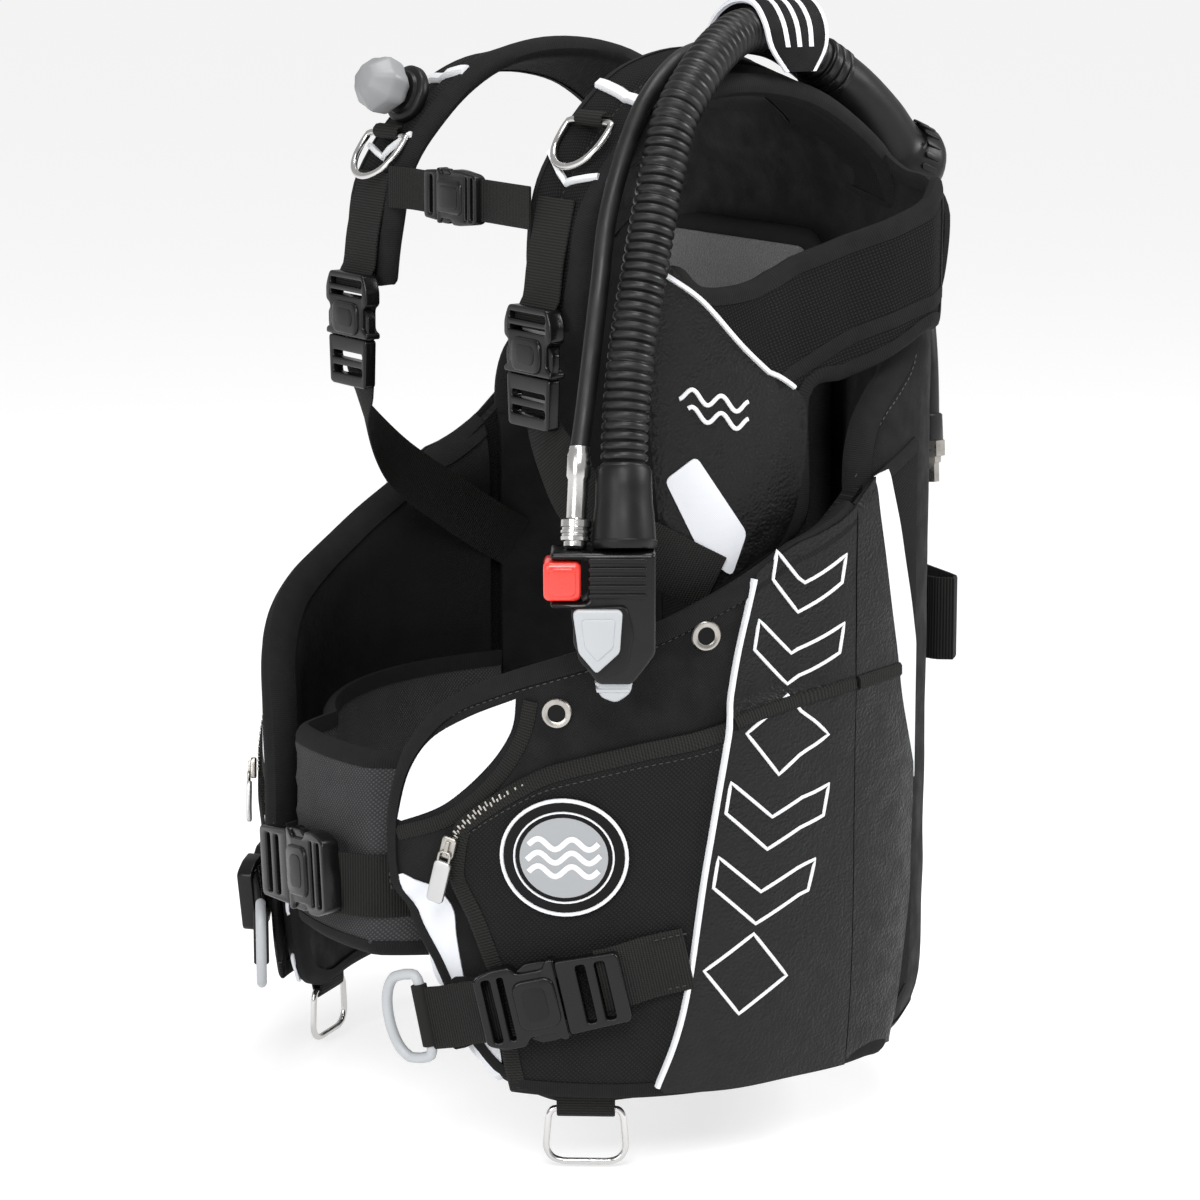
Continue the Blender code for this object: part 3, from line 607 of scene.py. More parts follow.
class Panel:
    """A sewn panel, full in the middle and thin at its soft rim.

    The outline is a closed list of pattern points, and rims the open paths of it that thin out.
    front(u, v) and back(u, v) are the heights of the two faces, and place(u, v, w) puts a
    pattern point of height w in space.
    """

    def __init__(self, outline, place, front, back, rims=None, drop=0.004, rim=0.0032,
                 reach=0.014, back_reach=0.03, ripple=0.0):
        self.outline = [tuple(float(c) for c in p[:2]) for p in outline]
        self.rims = [np.array(r, float)[:, :2] for r in rims] if rims is not None else None
        self.place, self.front, self.back = place, front, back
        self.drop, self.rim, self.reach, self.back_reach = drop, rim, reach, back_reach
        self.ripple = ripple

    def depth(self, u, v):
        """Distance to the nearest thin rim."""
        if self.rims is None:
            return to_path(np.array(self.outline), (u, v), True)
        if not self.rims:
            return 1.0
        return min(to_path(r, (u, v)) for r in self.rims)

    def height(self, side, u, v):
        d = self.depth(u, v)
        reach = self.reach if side > 0 else self.back_reach
        t = min(d / reach, 1.0)
        full = math.sqrt(1 - (1 - t) ** 2)
        edge = self.front(u, v) - self.drop
        wave = self.ripple * full * noise.noise(Vector((u * 34, v * 26, side * 7.0)))
        if side > 0:
            return edge + self.drop * full + wave
        edge -= self.rim
        return edge + (self.back(u, v) - edge) * full + wave

    def point(self, side, u, v, lift=0.0):
        return self.place(u, v, self.height(side, u, v) + side * lift)

    def normal(self, side, u, v):
        e = 0.0008
        across = self.point(side, u + e, v) - self.point(side, u - e, v)
        up = self.point(side, u, v + e) - self.point(side, u, v - e)
        n = across.cross(up)
        out = self.place(u, v, self.front(u, v) + 0.01) - self.place(u, v, self.front(u, v))
        return (n if n.dot(out) * side > 0 else -n).normalized()

    def closed_sheet(self, name, mat, points, tris, front, back):
        """The solid between two faces over the same triangles."""
        count = len(points)
        verts = [front(u, v) for u, v in points] + [back(u, v) for u, v in points]
        faces = tris + [tuple(k + count for k in reversed(t)) for t in tris]
        faces += [(b, a, a + count, b + count) for a, b in rim_of(tris)]
        return mesh_object(name, mat, verts, faces, points * 2)

    def solid(self, name, mat, cell=0.007):
        self.points, tris = fill(self.outline, cell)
        return self.closed_sheet(name, mat, self.points, tris, lambda u, v: self.point(1, u, v),
                                 lambda u, v: self.point(-1, u, v))

    def overlay(self, name, mat, outline, lift, thick=0.0006, cell=0.007):
        """A thin sheet sewn on the front face."""
        points, tris = fill([tuple(p[:2]) for p in outline], cell)
        return self.closed_sheet(name, mat, points, tris, lambda u, v: self.point(1, u, v, lift + thick),
                                 lambda u, v: self.point(1, u, v, lift - SEAM_SINK))

    def line(self, name, mat, path, width, tall, lift=0.0, closed=False):
        """A raised tape or piping sewn along a path on the front face."""
        shape = ((-0.5, -0.0008), (-0.48, 0.45 * tall), (-0.30, tall), (0.30, tall),
                 (0.48, 0.45 * tall), (0.5, -0.0008))
        loops, uvs = [], []
        for p, ahead, behind, run in along([np.array(p[:2], float) for p in path], closed):
            centre = self.point(1, *p, lift)
            forward = (self.point(1, *ahead) - self.point(1, *behind)).normalized()
            n = self.normal(1, *p)
            across = forward.cross(n).normalized()
            loops.append([centre + across * a * width + n * b for a, b in shape])
            uvs.append([(run, a * width) for a, _ in shape])
        return loft(name, mat, loops, uvs, closed)

    def binding(self, name, mat, path, width=0.0085, lift=0.0007, closed=False):
        """Tape folded round the rim along a path, which is part of the outline."""
        rows = list(along([np.array(p[:2], float) for p in path], closed))
        ring = np.array(self.outline)
        inwards = []
        for p, ahead, behind, run in rows:
            t = (ahead - behind) / max(1e-9, float(np.linalg.norm(ahead - behind)))
            inwards.append(np.array((-t[1], t[0])))
        found = sum(inside(ring, row[0] + n * 0.002) for row, n in zip(rows, inwards))
        sign = 1 if 2 * found > len(rows) else -1
        fold = [(width, -0.0006), (width, lift), (width * 0.5, lift * 1.15), (0.0015, lift), (-lift, 0.0)]
        steps = [(deep, 1, up) for deep, up in fold] + [(deep, -1, up) for deep, up in reversed(fold)]
        loops, uvs = [], []
        for (p, ahead, behind, run), inward in zip(rows, inwards):
            loop = []
            for deep, side, up in steps:
                on = p + inward * sign * max(deep, 0.0)
                on[0] = min(max(on[0], ring[:, 0].min()), ring[:, 0].max())
                q = on if deep > 0 else p + inward * sign * deep
                loop.append(self.place(*q, self.height(side, *on) + side * up))
            loops.append(loop)
            uvs.append([(run, k * 0.002) for k in range(len(steps))])
        return loft(name, mat, loops, uvs, closed)

    def stitches(self, name, path):
        """A row of stitches along a path on the front face."""
        route = [self.point(1, *p[:2]) for p in path]
        return stitch_row(name, route, [self.normal(1, *p[:2]) for p in path])


def stitch_row(name, route, normals):
    verts, faces = [], []
    run = STITCH_PITCH / 2
    for a, b, n in zip(route, route[1:], normals):
        span = (b - a).length
        if span < 1e-6:
            continue
        forward = (b - a) / span
        across = forward.cross(n).normalized()
        while run < span:
            base = len(verts)
            centre = a + forward * run
            for x, z in ((-0.5, -0.0004), (-0.4, 0.00035), (0.4, 0.00035), (0.5, -0.0004)):
                for y in (-0.5, 0.5):
                    verts.append(centre + forward * x * STITCH_LONG + across * y * STITCH_WIDE + n * z)
            faces += [tuple(base + k for k in face) for face in STITCH_FACES]
            run += STITCH_PITCH
        run -= span
    return mesh_object(name, thread(), verts, faces)


def strap(name, mat, stations, thick=0.0018, spacing=0.006, closed=False):
    """Flat webbing. stations: (centre, side direction, width)."""
    rows = smooth([(*c, *(Vector(s).normalized()), w) for c, s, w in stations], spacing, closed)
    loops, uvs = [], []
    for row, ahead, behind, run in along(rows, closed):
        centre, side, half, t = Vector(row[:3]), Vector(row[3:6]).normalized(), float(row[6]) / 2, thick / 2
        up = (Vector(ahead[:3]) - Vector(behind[:3])).cross(side).normalized()
        under = [(-half, -t * 0.5), (-half + t, -t), (0, -t), (half - t, -t), (half, -t * 0.5)]
        shape = under + [(a, -b) for a, b in reversed(under)]
        loops.append([centre + side * a + up * b for a, b in shape])
        uvs.append([(run, a) for a, _ in shape])
    return loft(name, mat, loops, uvs, closed)


def sweep(name, mat, route, radii, sides=24, closed=False, sharp=40):
    """A round solid along a route, with a radius at each point."""
    loops, uvs, side = [], [], None
    for (centre, ahead, behind, run), radius in zip(along([Vector(p) for p in route], closed), radii):
        forward = (ahead - behind).normalized()
        side = forward.orthogonal() if side is None else side
        side = (side - forward * side.dot(forward)).normalized()
        loops.append(circle(centre, side, forward.cross(side), radius, sides))
        uvs.append([(run, a * radius) for a in around(sides)])
    return loft(name, mat, loops, uvs, closed, sharp)


def turned(name, mat, origin, axis, profile, sides=32):
    """A round solid on a straight axis. profile: (distance along, radius)."""
    axis = Vector(axis).normalized()
    loops = [circle(Vector(origin) + axis * d, *across_axis(axis), r, sides) for d, r in profile]
    return loft(name, mat, loops)


def wire(name, mat, outline, radius, matrix, sides=12, spacing=0.002):
    """A bent wire ring through an outline in the matrix's XY plane."""
    route = [matrix @ Vector((p[0], p[1], 0)) for p in smooth(outline, spacing, closed=True)]
    return sweep(name, mat, route, [radius] * len(route), sides, closed=True)


def moulded(name, mat, loops, low, high, matrix, bevel=0.0007):
    """A moulded plate: an outline and its holes in the matrix's XY plane, with rounded edges."""
    curve = bpy.data.curves.new(name, "CURVE")
    curve.dimensions = "2D"
    curve.fill_mode = "BOTH"
    curve.bevel_depth = bevel
    curve.bevel_resolution = 2
    curve.extrude = max(1e-5, (high - low) / 2 - bevel)
    curve.offset = -bevel
    for loop in loops:
        spline = curve.splines.new("POLY")
        spline.points.add(len(loop) - 1)
        for target, p in zip(spline.points, loop):
            target.co = (p[0], p[1], 0, 1)
        spline.use_cyclic_u = True
    obj = bpy.data.objects.new(name, curve)
    bpy.context.scene.collection.objects.link(obj)
    bpy.context.view_layer.update()
    made = bpy.data.meshes.new_from_object(obj.evaluated_get(bpy.context.evaluated_depsgraph_get()))
    bpy.data.objects.remove(obj)
    made.transform(matrix @ Matrix.Translation((0, 0, (low + high) / 2)))
    bm = bmesh.new()
    bm.from_mesh(made)
    bmesh.ops.remove_doubles(bm, verts=bm.verts, dist=1e-6)
    bmesh.ops.recalc_face_normals(bm, faces=bm.faces)
    bm.to_mesh(made)
    bm.free()
    made.shade_smooth()
    made.set_sharp_from_angle(angle=math.radians(50))
    made.name = name
    obj = bpy.data.objects.new(name, made)
    bpy.context.scene.collection.objects.link(obj)
    made.materials.clear()
    made.materials.append(mat)
    return obj


def rounded(x0, y0, x1, y1, r, steps=4):
    """A rectangle with round corners."""
    out = []
    for cx, cy, start in ((x1 - r, y1 - r, 0), (x0 + r, y1 - r, 90), (x0 + r, y0 + r, 180),
                          (x1 - r, y0 + r, 270)):
        for k in range(steps + 1):
            a = math.radians(start + 90 * k / steps)
            out.append((cx + r * math.cos(a), cy + r * math.sin(a)))
    return out


# Putting pieces on the frame

def put(obj, body, slot, *nodes):
    """The piece rides on a body and stands for CAD nodes. The slot is not used."""
    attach(obj, body)
    if nodes:
        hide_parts(*nodes)
    return obj


def twin(obj):
    """The mirror image on the wearer's right."""
    data = obj.data.copy()
    data.transform(Matrix.Scale(-1, 4, (1, 0, 0)))
    data.flip_normals()
    made = bpy.data.objects.new(obj.name.replace("left_", "right_"), data)
    data.name = made.name
    bpy.context.scene.collection.objects.link(made)
    return made


def both(obj, body, slot="black_fabric", *nodes):
    """Put a left-hand piece and its mirror image."""
    other = twin(obj)
    put(obj, body, slot, *nodes)
    put(other, body.replace("left_", "right_"), slot, *(n.replace("left_", "right_") for n in nodes))
    return obj, other


def sewn_on(body, place=both):
    """A function that puts pieces on this body."""
    def sew(piece, slot="black_fabric", *nodes):
        return place(piece, body, slot, *nodes)
    return sew


def padded(pieces):
    for piece in pieces:
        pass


# Camera and hoses come first

def camera():
    a, e = math.radians(CAMERA_AZIMUTH), math.radians(CAMERA_ELEVATION)
    towards = Vector((math.sin(a) * math.cos(e), -math.cos(a) * math.cos(e), math.sin(e)))
    target = at(0, 0, CAMERA_TARGET_H)
    data = bpy.data.cameras.new("camera")
    data.lens = CAMERA_LENS
    data.sensor_width = 36.0
    obj = bpy.data.objects.new("camera", data)
    bpy.context.scene.collection.objects.link(obj)
    obj.location = target + towards * CAMERA_DISTANCE
    obj.rotation_euler = (-towards).to_track_quat("-Z", "Y").to_euler()
    bpy.context.scene.camera = obj


HOSE = [(0.1128, 0.078, 0.6340), (0.1150, 0.061, 0.6450), (0.1170, 0.045, 0.6515),
        (0.1205, 0.022, 0.6530), (0.1310, 0.000, 0.6470), (0.1450, -0.026, 0.6320),
        (0.1550, -0.051, 0.6050), (0.1655, -0.069, 0.5640), (0.1740, -0.083, 0.5260),
        (0.1815, -0.096, 0.4865), (0.1885, -0.105, 0.4500), (0.1960, -0.1115, 0.4140)]
LP_HOSE = [(0.1780, -0.1290, 0.4290), (0.1710, -0.1200, 0.4560), (0.1610, -0.1050, 0.5150),
           (0.1490, -0.0900, 0.5600), (0.1350, -0.0620, 0.6080), (0.1230, -0.0300, 0.6350),
           (0.1085, 0.0020, 0.6430), (0.0960, 0.0330, 0.6440), (0.0900, 0.0600, 0.6400),
           (0.0800, 0.0850, 0.6300), (0.0680, 0.1150, 0.6140), (0.0630, 0.1450, 0.5960),
           (0.0615, 0.1690, 0.5680), (0.0640, 0.1765, 0.5400), (0.0770, 0.1770, 0.5150),
           (0.0940, 0.1750, 0.4850), (0.1040, 0.1725, 0.4500), (0.1080, 0.1715, 0.4060)]


def route_length(route):
    return sum((Vector(b) - Vector(a)).length for a, b in zip(route, route[1:]))


def hoses():
    line = [Vector(p) for p in smooth([at(*p) for p in HOSE], RIDGE_PITCH / 8)]
    run, radii = 0.0, []
    for i, p in enumerate(line):
        run += (p - line[i - 1]).length if i else 0.0
        phase = (run / RIDGE_PITCH) % 1.0
        groove = math.exp(-((phase - 0.5) / 0.17) ** 2)
        radii.append(HOSE_RADIUS - 0.0002 - 0.0021 * groove)
    hose = sweep("corrugated_hose_skin", hose_rubber(), line, radii, 28, sharp=80)
    length = route_length(line)
    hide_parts("corrugated_hose")
    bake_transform(hose)
    tuple(line[0])
    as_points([tuple(p) for p in line[::6]] + [tuple(line[-1])])
    line = [Vector(p) for p in smooth([at(*p) for p in LP_HOSE], 0.004)]
    thin = sweep("lp_hose_skin", hose_rubber(), line, [LP_RADIUS] * len(line), 16)
    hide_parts("lp_hose")
    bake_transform(thin)
    return thin, line


# Fabric round the torso

POCKET_LINE = [(24, 0.168), (31, 0.190), (41, 0.223), (48, 0.239), (57, 0.250), (69, 0.261), (79, 0.269),
               (94, 0.279), (110, 0.284)]
LOBE_RIM = [(98.2, 0.3865), (95.3, 0.379), (83.3, 0.353), (72.5, 0.334), (63, 0.319), (51, 0.305),
            (41.1, 0.293), (32.2, 0.278), (26.1, 0.257), (22.3, 0.235), (20.1, 0.204), (20.4, 0.169),
            (23.1, 0.140), (27.5, 0.115), (32.8, 0.078), (38.2, 0.055), (45.2, 0.044), (52, 0.039),
            (63, 0.042), (73, 0.045), (87, 0.049), (98.2, 0.049)]
POCKET_FRONT_EDGE = [(33.6, 0.204), (32.9, 0.190), (32.9, 0.173), (35.8, 0.152), (37.6, 0.136),
                     (39, 0.123), (40.7, 0.110), (41.2, 0.074), (42.5, 0.0485)]
POCKET_HEM = [(97.8, 0.050), (89, 0.050), (69, 0.047), (57, 0.0465), (48, 0.0475), (42.5, 0.0485)]
POCKET_TOP_EDGE = [(33.6, 0.204), (34.9, 0.2105), (40.6, 0.226), (46.5, 0.239), (51.5, 0.246),
                   (62.8, 0.256), (72.1, 0.262), (82.4, 0.271), (93.7, 0.279), (97.8, 0.281)]
MOTIF_LINE = [(91.5, 0.372), (89.6, 0.330), (87.6, 0.283), (85.6, 0.235), (83.6, 0.190), (81.6, 0.145),
              (79.4, 0.100), (77.6, 0.066)]
MOTIF_START, MOTIF_GAP = 0.011, 0.006
MOTIF_CELLS = [("chevron", 0.034, 0.036), ("chevron", 0.036, 0.046), ("diamond", 0.046, 0.046),
               ("chevron", 0.038, 0.056), ("chevron", 0.038, 0.056), ("diamond", 0.048, 0.050)]
PIPING = [(81.9, 0.349), (79, 0.304), (77.2, 0.264), (73.2, 0.176), (70, 0.097), (66.1, 0.053)]
LEAF_UPPER = [(43.7, 0.282), (35.8, 0.2695), (29.1, 0.254), (25.0, 0.233), (22.6, 0.204)]
LEAF_LOWER = [(23.5, 0.2035), (31.6, 0.217), (38.9, 0.241), (42.9, 0.263), (43.7, 0.282)]
LEAF_TAPE = [(46.1, 0.281), (44.5, 0.258), (40.1, 0.233), (32.4, 0.209), (22.6, 0.1955)]
FRONT_PATCH = [(22.8, 0.171), (27.3, 0.167), (29.9, 0.160), (31.7, 0.151), (32.1, 0.136), (33.3, 0.112),
               (34.2, 0.100), (28.9, 0.103), (26.2, 0.122), (24, 0.149)]
HEM_PATCH = [(33.2, 0.073), (39.1, 0.074), (39.5, 0.050), (36.4, 0.058)]
SHOULDER_WEB = [(0.104, -0.0970, 0.561), (0.1045, -0.0990, 0.553), (0.105, -0.1055, 0.525),
                (0.105, -0.1085, 0.504), (0.105, -0.1135, 0.496), (0.105, -0.1140, 0.488)]
LEFT_SIDE_WEB = [(0.105, -0.1083, 0.442), (0.107, -0.1080, 0.430), (0.117, -0.1045, 0.412),
                 (0.138, -0.1015, 0.391), (0.158, -0.0890, 0.373), (0.1690, -0.0640, 0.357),
                 (0.1765, -0.0370, 0.342)]
RIGHT_SIDE_WEB = [(-0.105, -0.1083, 0.442), (-0.1065, -0.1075, 0.431), (-0.122, -0.0960, 0.409),
                  (-0.150, -0.0560, 0.371), (-0.170, -0.0020, 0.336), (-0.1790, 0.034, 0.314),
                  (-0.1830, 0.054, 0.303)]
LEFT_CHEST_WEB = [(0.084, -0.1025, 0.554), (0.060, -0.1020, 0.554), (0.032, -0.1012, 0.554),
                  (0.024, -0.1035, 0.554)]
RIGHT_CHEST_WEB = [(-0.022, -0.0991, 0.554), (-0.034, -0.0990, 0.554), (-0.058, -0.0980, 0.554),
                   (-0.077, -0.1025, 0.554)]
POUCH_OUTLINE = [(31.2, 0.070), (37.4, 0.076), (42, 0.083), (48, 0.085), (60, 0.085), (76.5, 0.086),
                 (76.5, 0.188), (60, 0.184), (52, 0.168), (48, 0.157), (42, 0.140), (37.7, 0.138),
                 (37.2, 0.116), (31.2, 0.109)]
POUCH_TONGUE = [(28.1, 0.0880, 0.2140), (32, 0.0910, 0.2145), (36.4, 0.0960, 0.2165), (40.4, 0.1000, 0.2205),
                (42.6, 0.1020, 0.2215)]
POUCH_TAIL = [(57.0, 0.1210, 0.2225), (59.5, 0.1230, 0.2220), (62.5, 0.1255, 0.2180), (65, 0.1275, 0.2160),
              (68, 0.1295, 0.2158), (70.6, 0.1310, 0.2156)]
BAND_LEFT = [(102.7, 0.401), (105.7, 0.351), (109.3, 0.302), (112.2, 0.264), (117.4, 0.224)]
BAND_RIGHT = [(120.5, 0.215), (121.4, 0.256), (117.9, 0.296), (112.5, 0.348), (106.4, 0.404)]
AIR_CELL_TOP = [(101.2, 0.390), (101.4, 0.412), (103.4, 0.432), (108, 0.448), (114, 0.460), (120, 0.474),
                (126, 0.500), (134, 0.524),
                (146, 0.540), (163, 0.544), (180, 0.546), (197, 0.544), (214, 0.540), (226, 0.524),
                (234, 0.500), (240, 0.474), (246, 0.460), (252, 0.448),
                (256.6, 0.432), (258.6, 0.412), (258.8, 0.390)]
AIR_CELL_BOTTOM = [(258.5, 0.049), (252, 0.050), (240, 0.054), (226, 0.058), (180, 0.060), (134, 0.058),
                   (120, 0.054), (108, 0.050), (101.5, 0.049)]
CHEST_RIM = [(63.5, 0.528), (66, 0.524), (72, 0.524), (76.7, 0.512), (86.5, 0.514), (94, 0.526),
             (101.8, 0.536), (115, 0.553), (124, 0.566), (124, 0.490), (118, 0.483), (114, 0.475),
             (108, 0.464), (103, 0.456), (97, 0.446), (97, 0.380), (92, 0.355), (86, 0.340), (78, 0.332),
             (73, 0.345), (69, 0.357), (66.3, 0.400), (65.0, 0.450), (64.2, 0.490)]
CHEST_RADIUS = [(94, 0.1690), (103, 0.183), (110, 0.200), (118, 0.2135)]
CHEST_PIPING = [(67.5, 0.5235), (75.7, 0.506), (84.9, 0.476), (93.9, 0.452)]
CHEST_LEATHER = [(66.6, 0.507), (69, 0.5265), (75.7, 0.506), (84.9, 0.476), (93.9, 0.452), (96.2, 0.435),
                 (95.4, 0.398), (92, 0.364), (87.4, 0.353), (76, 0.339), (69.2, 0.362), (66.9, 0.409),
                 (65.9, 0.450)]
COLLAR_SEAM = [(91, 0.454), (102.9, 0.479), (113.3, 0.493), (123.4, 0.503)]


def angle_of(u):
    return math.degrees(u / RING)


def lobe_high(u):
    """The upper lobe swells out to meet the side panel at the seam."""
    return LOBE_HIGH + (SIDE_FRONT + 0.0008 - LOBE_HIGH) * ease(84, 97, angle_of(u))


def lobe_front(u, v):
    line = between(POCKET_LINE, angle_of(u))[0]
    return LOBE_LOW + (lobe_high(u) - LOBE_LOW) * ease(line - 0.022, line - 0.002, v)


def cover_front(u, v):
    """Height of whatever is outermost on a lobe: the pocket or the lobe above it."""
    top = between(POCKET_TOP_EDGE, angle_of(u))[0]
    high = lobe_high(u)
    return high + (POCKET_FRONT + 0.0006 - high) * ease(0, 0.020, top + 0.016 - v)


def constant(value):
    return lambda u, v: value


def open_outline(points, spacing=0.004):
    """A smooth path round a panel, closed by a straight edge."""
    path = smooth(pattern(*points), spacing)
    return path, path + straight([path[-1], path[0]], 0.007)[1:-1]


def lobe():
    sew = sewn_on("left_lobe")
    rim, outline = open_outline(LOBE_RIM)
    panel = Panel(outline, ring_place, lobe_front, constant(LOBE_BACK), [rim], ripple=0.0008)
    padded(sew(panel.solid("left_lobe_skin", twill(), 0.006), "black_fabric", "left_lobe"))
    sew(panel.binding("left_lobe_binding", binding_tape(), rim, lift=0.0017))
    leaf = smooth(pattern(*LEAF_UPPER), 0.004) + smooth(pattern(*LEAF_LOWER), 0.004)[:-1]
    sew(panel.overlay("left_leaf", satin_white(), leaf, 0.0003, cell=0.005))
    sew(panel.line("left_leaf_tape", webbing(), smooth(pattern(*LEAF_TAPE), 0.005), 0.009, 0.0013), "webbing")
    for name, shape, spacing in (("left_front_patch", FRONT_PATCH, 0.004),
                                 ("left_hem_patch", HEM_PATCH, 0.003)):
        patch = smooth(pattern(*shape), spacing, closed=True)
        sew(panel.overlay(name, satin_white(), patch, 0.0003, cell=0.005))
    seam = [(a, h - 0.0105) for a, h in LOBE_RIM[1:12]]
    sew(panel.stitches("left_lobe_stitches", smooth(pattern(*seam), 0.004)))
    return panel


def pocket():
    sew = sewn_on("left_lobe")
    front = smooth(pattern(*POCKET_FRONT_EDGE), 0.004)
    top = smooth(pattern(*POCKET_TOP_EDGE), 0.004)
    bottom = smooth(pattern(*POCKET_HEM), 0.005)
    rear = straight([top[-1][:2], bottom[0][:2]], 0.007)
    outline = top[:-1] + rear[:-1] + bottom[:-1] + front[::-1][:-1]
    panel = Panel(outline, ring_place, constant(POCKET_FRONT), constant(0.2094), [front, top, bottom],
                  drop=0.0022, rim=0.0016, reach=0.010, back_reach=0.012, ripple=0.0007)
    for piece in sew(panel.solid("left_pocket_skin", cordura(), 0.006), "grey_cordura", "left_cargo_pocket"):
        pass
    for name, mat, path, width in (("left_pocket_binding", webbing(), front, 0.010),
                                   ("left_pocket_top_binding", webbing(), top, 0.0085),
                                   ("left_pocket_hem", binding_tape(), bottom, 0.009)):
        sew(panel.binding(name, mat, path, width), "webbing")
    inner = [p + np.array((0.0, -0.0125)) for p in top]
    sew(panel.stitches("left_pocket_stitches", inner), "grey_cordura")


def cover():
    """Leather and piping that cross the pocket, and the panel's own lines."""
    sew = sewn_on("left_lobe")
    outline = open_outline(LOBE_RIM)[1]
    panel = Panel(outline, ring_place, cover_front, constant(0.2), [], ripple=0.0007)
    upper = smooth(pattern((81.9, 0.349), (86, 0.3605), (95.3, 0.3785), (98.2, 0.386)), 0.005)
    lower = smooth(pattern((98.2, 0.050), (88, 0.0495), (76, 0.048), (66.4, 0.049)), 0.005)
    piping = smooth(pattern(*PIPING), 0.005)
    strip = upper[:-1] + straight([upper[-1][:2], lower[0][:2]], 0.007)[:-1] + lower[:-1] + piping[::-1][:-1]
    sew(panel.overlay("left_leather", leather(), strip, 0.0002, 0.0008, cell=0.006), "grained_skin")
    sew(panel.line("left_piping", white_piping(), piping, 0.0034, 0.0026, 0.0004))
    seam = [(78.2, 0.2668)] + [(a, h + 0.0005) for a, h in POCKET_TOP_EDGE[-3:]]
    sew(panel.line("left_leather_seam", webbing(), smooth(pattern(*seam), 0.004), 0.0085, 0.0030, 0.0002),
        "webbing")
    marks = [panel.line("mark", white_piping(), shape, 0.0021, 0.0009, 0.0010, closed=True)
             for shape in motif() if max(p[0] for p in shape) < math.radians(98.0) * RING]
    sew(join("left_motif", *marks), "grained_skin")
    return panel


def motif():
    """Plain outlined chevrons and diamonds, drawn along the leather strip."""
    middle = [p[:2] for p in smooth(pattern(*MOTIF_LINE), 0.004)]
    lengths = np.cumsum([0] + [np.linalg.norm(b - a) for a, b in zip(middle, middle[1:])])
    run, shapes = MOTIF_START, []
    for kind, long, wide in MOTIF_CELLS:
        shape = []
        for a, b in motif_cell(kind, long, wide):
            s = run + a
            i = int(np.searchsorted(lengths, s, side="right")) - 1
            step = middle[i + 1] - middle[i]
            forward = step / np.linalg.norm(step)
            across = np.array((-forward[1], forward[0]))
            shape.append(middle[i] + step * (s - lengths[i]) / (lengths[i + 1] - lengths[i]) + across * b)
        shapes.append(shape)
        run += long + MOTIF_GAP
    return shapes


def motif_cell(kind, long, wide):
    """One outline in (along, across)."""
    half = wide / 2
    if kind == "diamond":
        corners = [(0, 0), (long * 0.5, -half), (long, 0), (long * 0.5, half)]
    else:
        corners = [(0, -half), (long * 0.50, 0), (0, half), (long * 0.48, half), (long, 0),
                   (long * 0.48, -half)]
    return straight(corners + corners[:1], 0.004)[:-1]


def zip_fastener():
    """Teeth along the pocket's curved mouth, with a slider and a pull tab."""
    panel = Panel(pattern((30, 0.1), (60, 0.1), (60, 0.3)), ring_place, constant(0.2118), constant(0.20), [])
    mouth = smooth(pattern((33.4, 0.192), (33.9, 0.200), (37, 0.213), (40.5, 0.2225), (46, 0.2325)), 0.0022)
    teeth = []
    for i, (p, ahead) in enumerate(zip(mouth, mouth[1:])):
        m = axes(panel.point(1, *p), panel.point(1, *ahead) - panel.point(1, *p), panel.normal(1, *p))
        side = 0.0009 if i % 2 else -0.0009
        tooth = rounded(-0.0006, side - 0.0016, 0.0006, side + 0.0016, 0.0003, 1)
        teeth.append(moulded("tooth", nickel(), [tooth], 0.0002, 0.0014, m, 0.0002))
    both(join("left_zip_teeth", *teeth), "left_lobe", "steel")
    m = axes(wrap(33.2, 0.194, 0.2140), Vector((0, 0, 1)) + leftward(33) * 0.25, outward(33))
    slider = moulded("left_zip_slider", nickel(), [rounded(-0.007, -0.0045, 0.006, 0.0045, 0.002)],
                     0.0, 0.0032, m, 0.0008)
    bridge = moulded("bridge", nickel(), [rounded(-0.005, -0.0012, 0.004, 0.0012, 0.0008)], 0.003, 0.0050,
                     m, 0.0005)
    eye = wire("eye", nickel(), rounded(-0.010, -0.0035, -0.003, 0.0035, 0.002), 0.0008,
               m @ Matrix.Translation((0, 0, 0.0045)))
    tab = moulded("tab", pale_metal(), [rounded(-0.034, -0.0052, -0.0085, 0.0052, 0.0026)],
                  0.0028, 0.0056, m, 0.0009)
    both(join("left_zip_tab", slider, bridge, eye, tab), "left_zip_pull", "steel", "left_zip_pull")


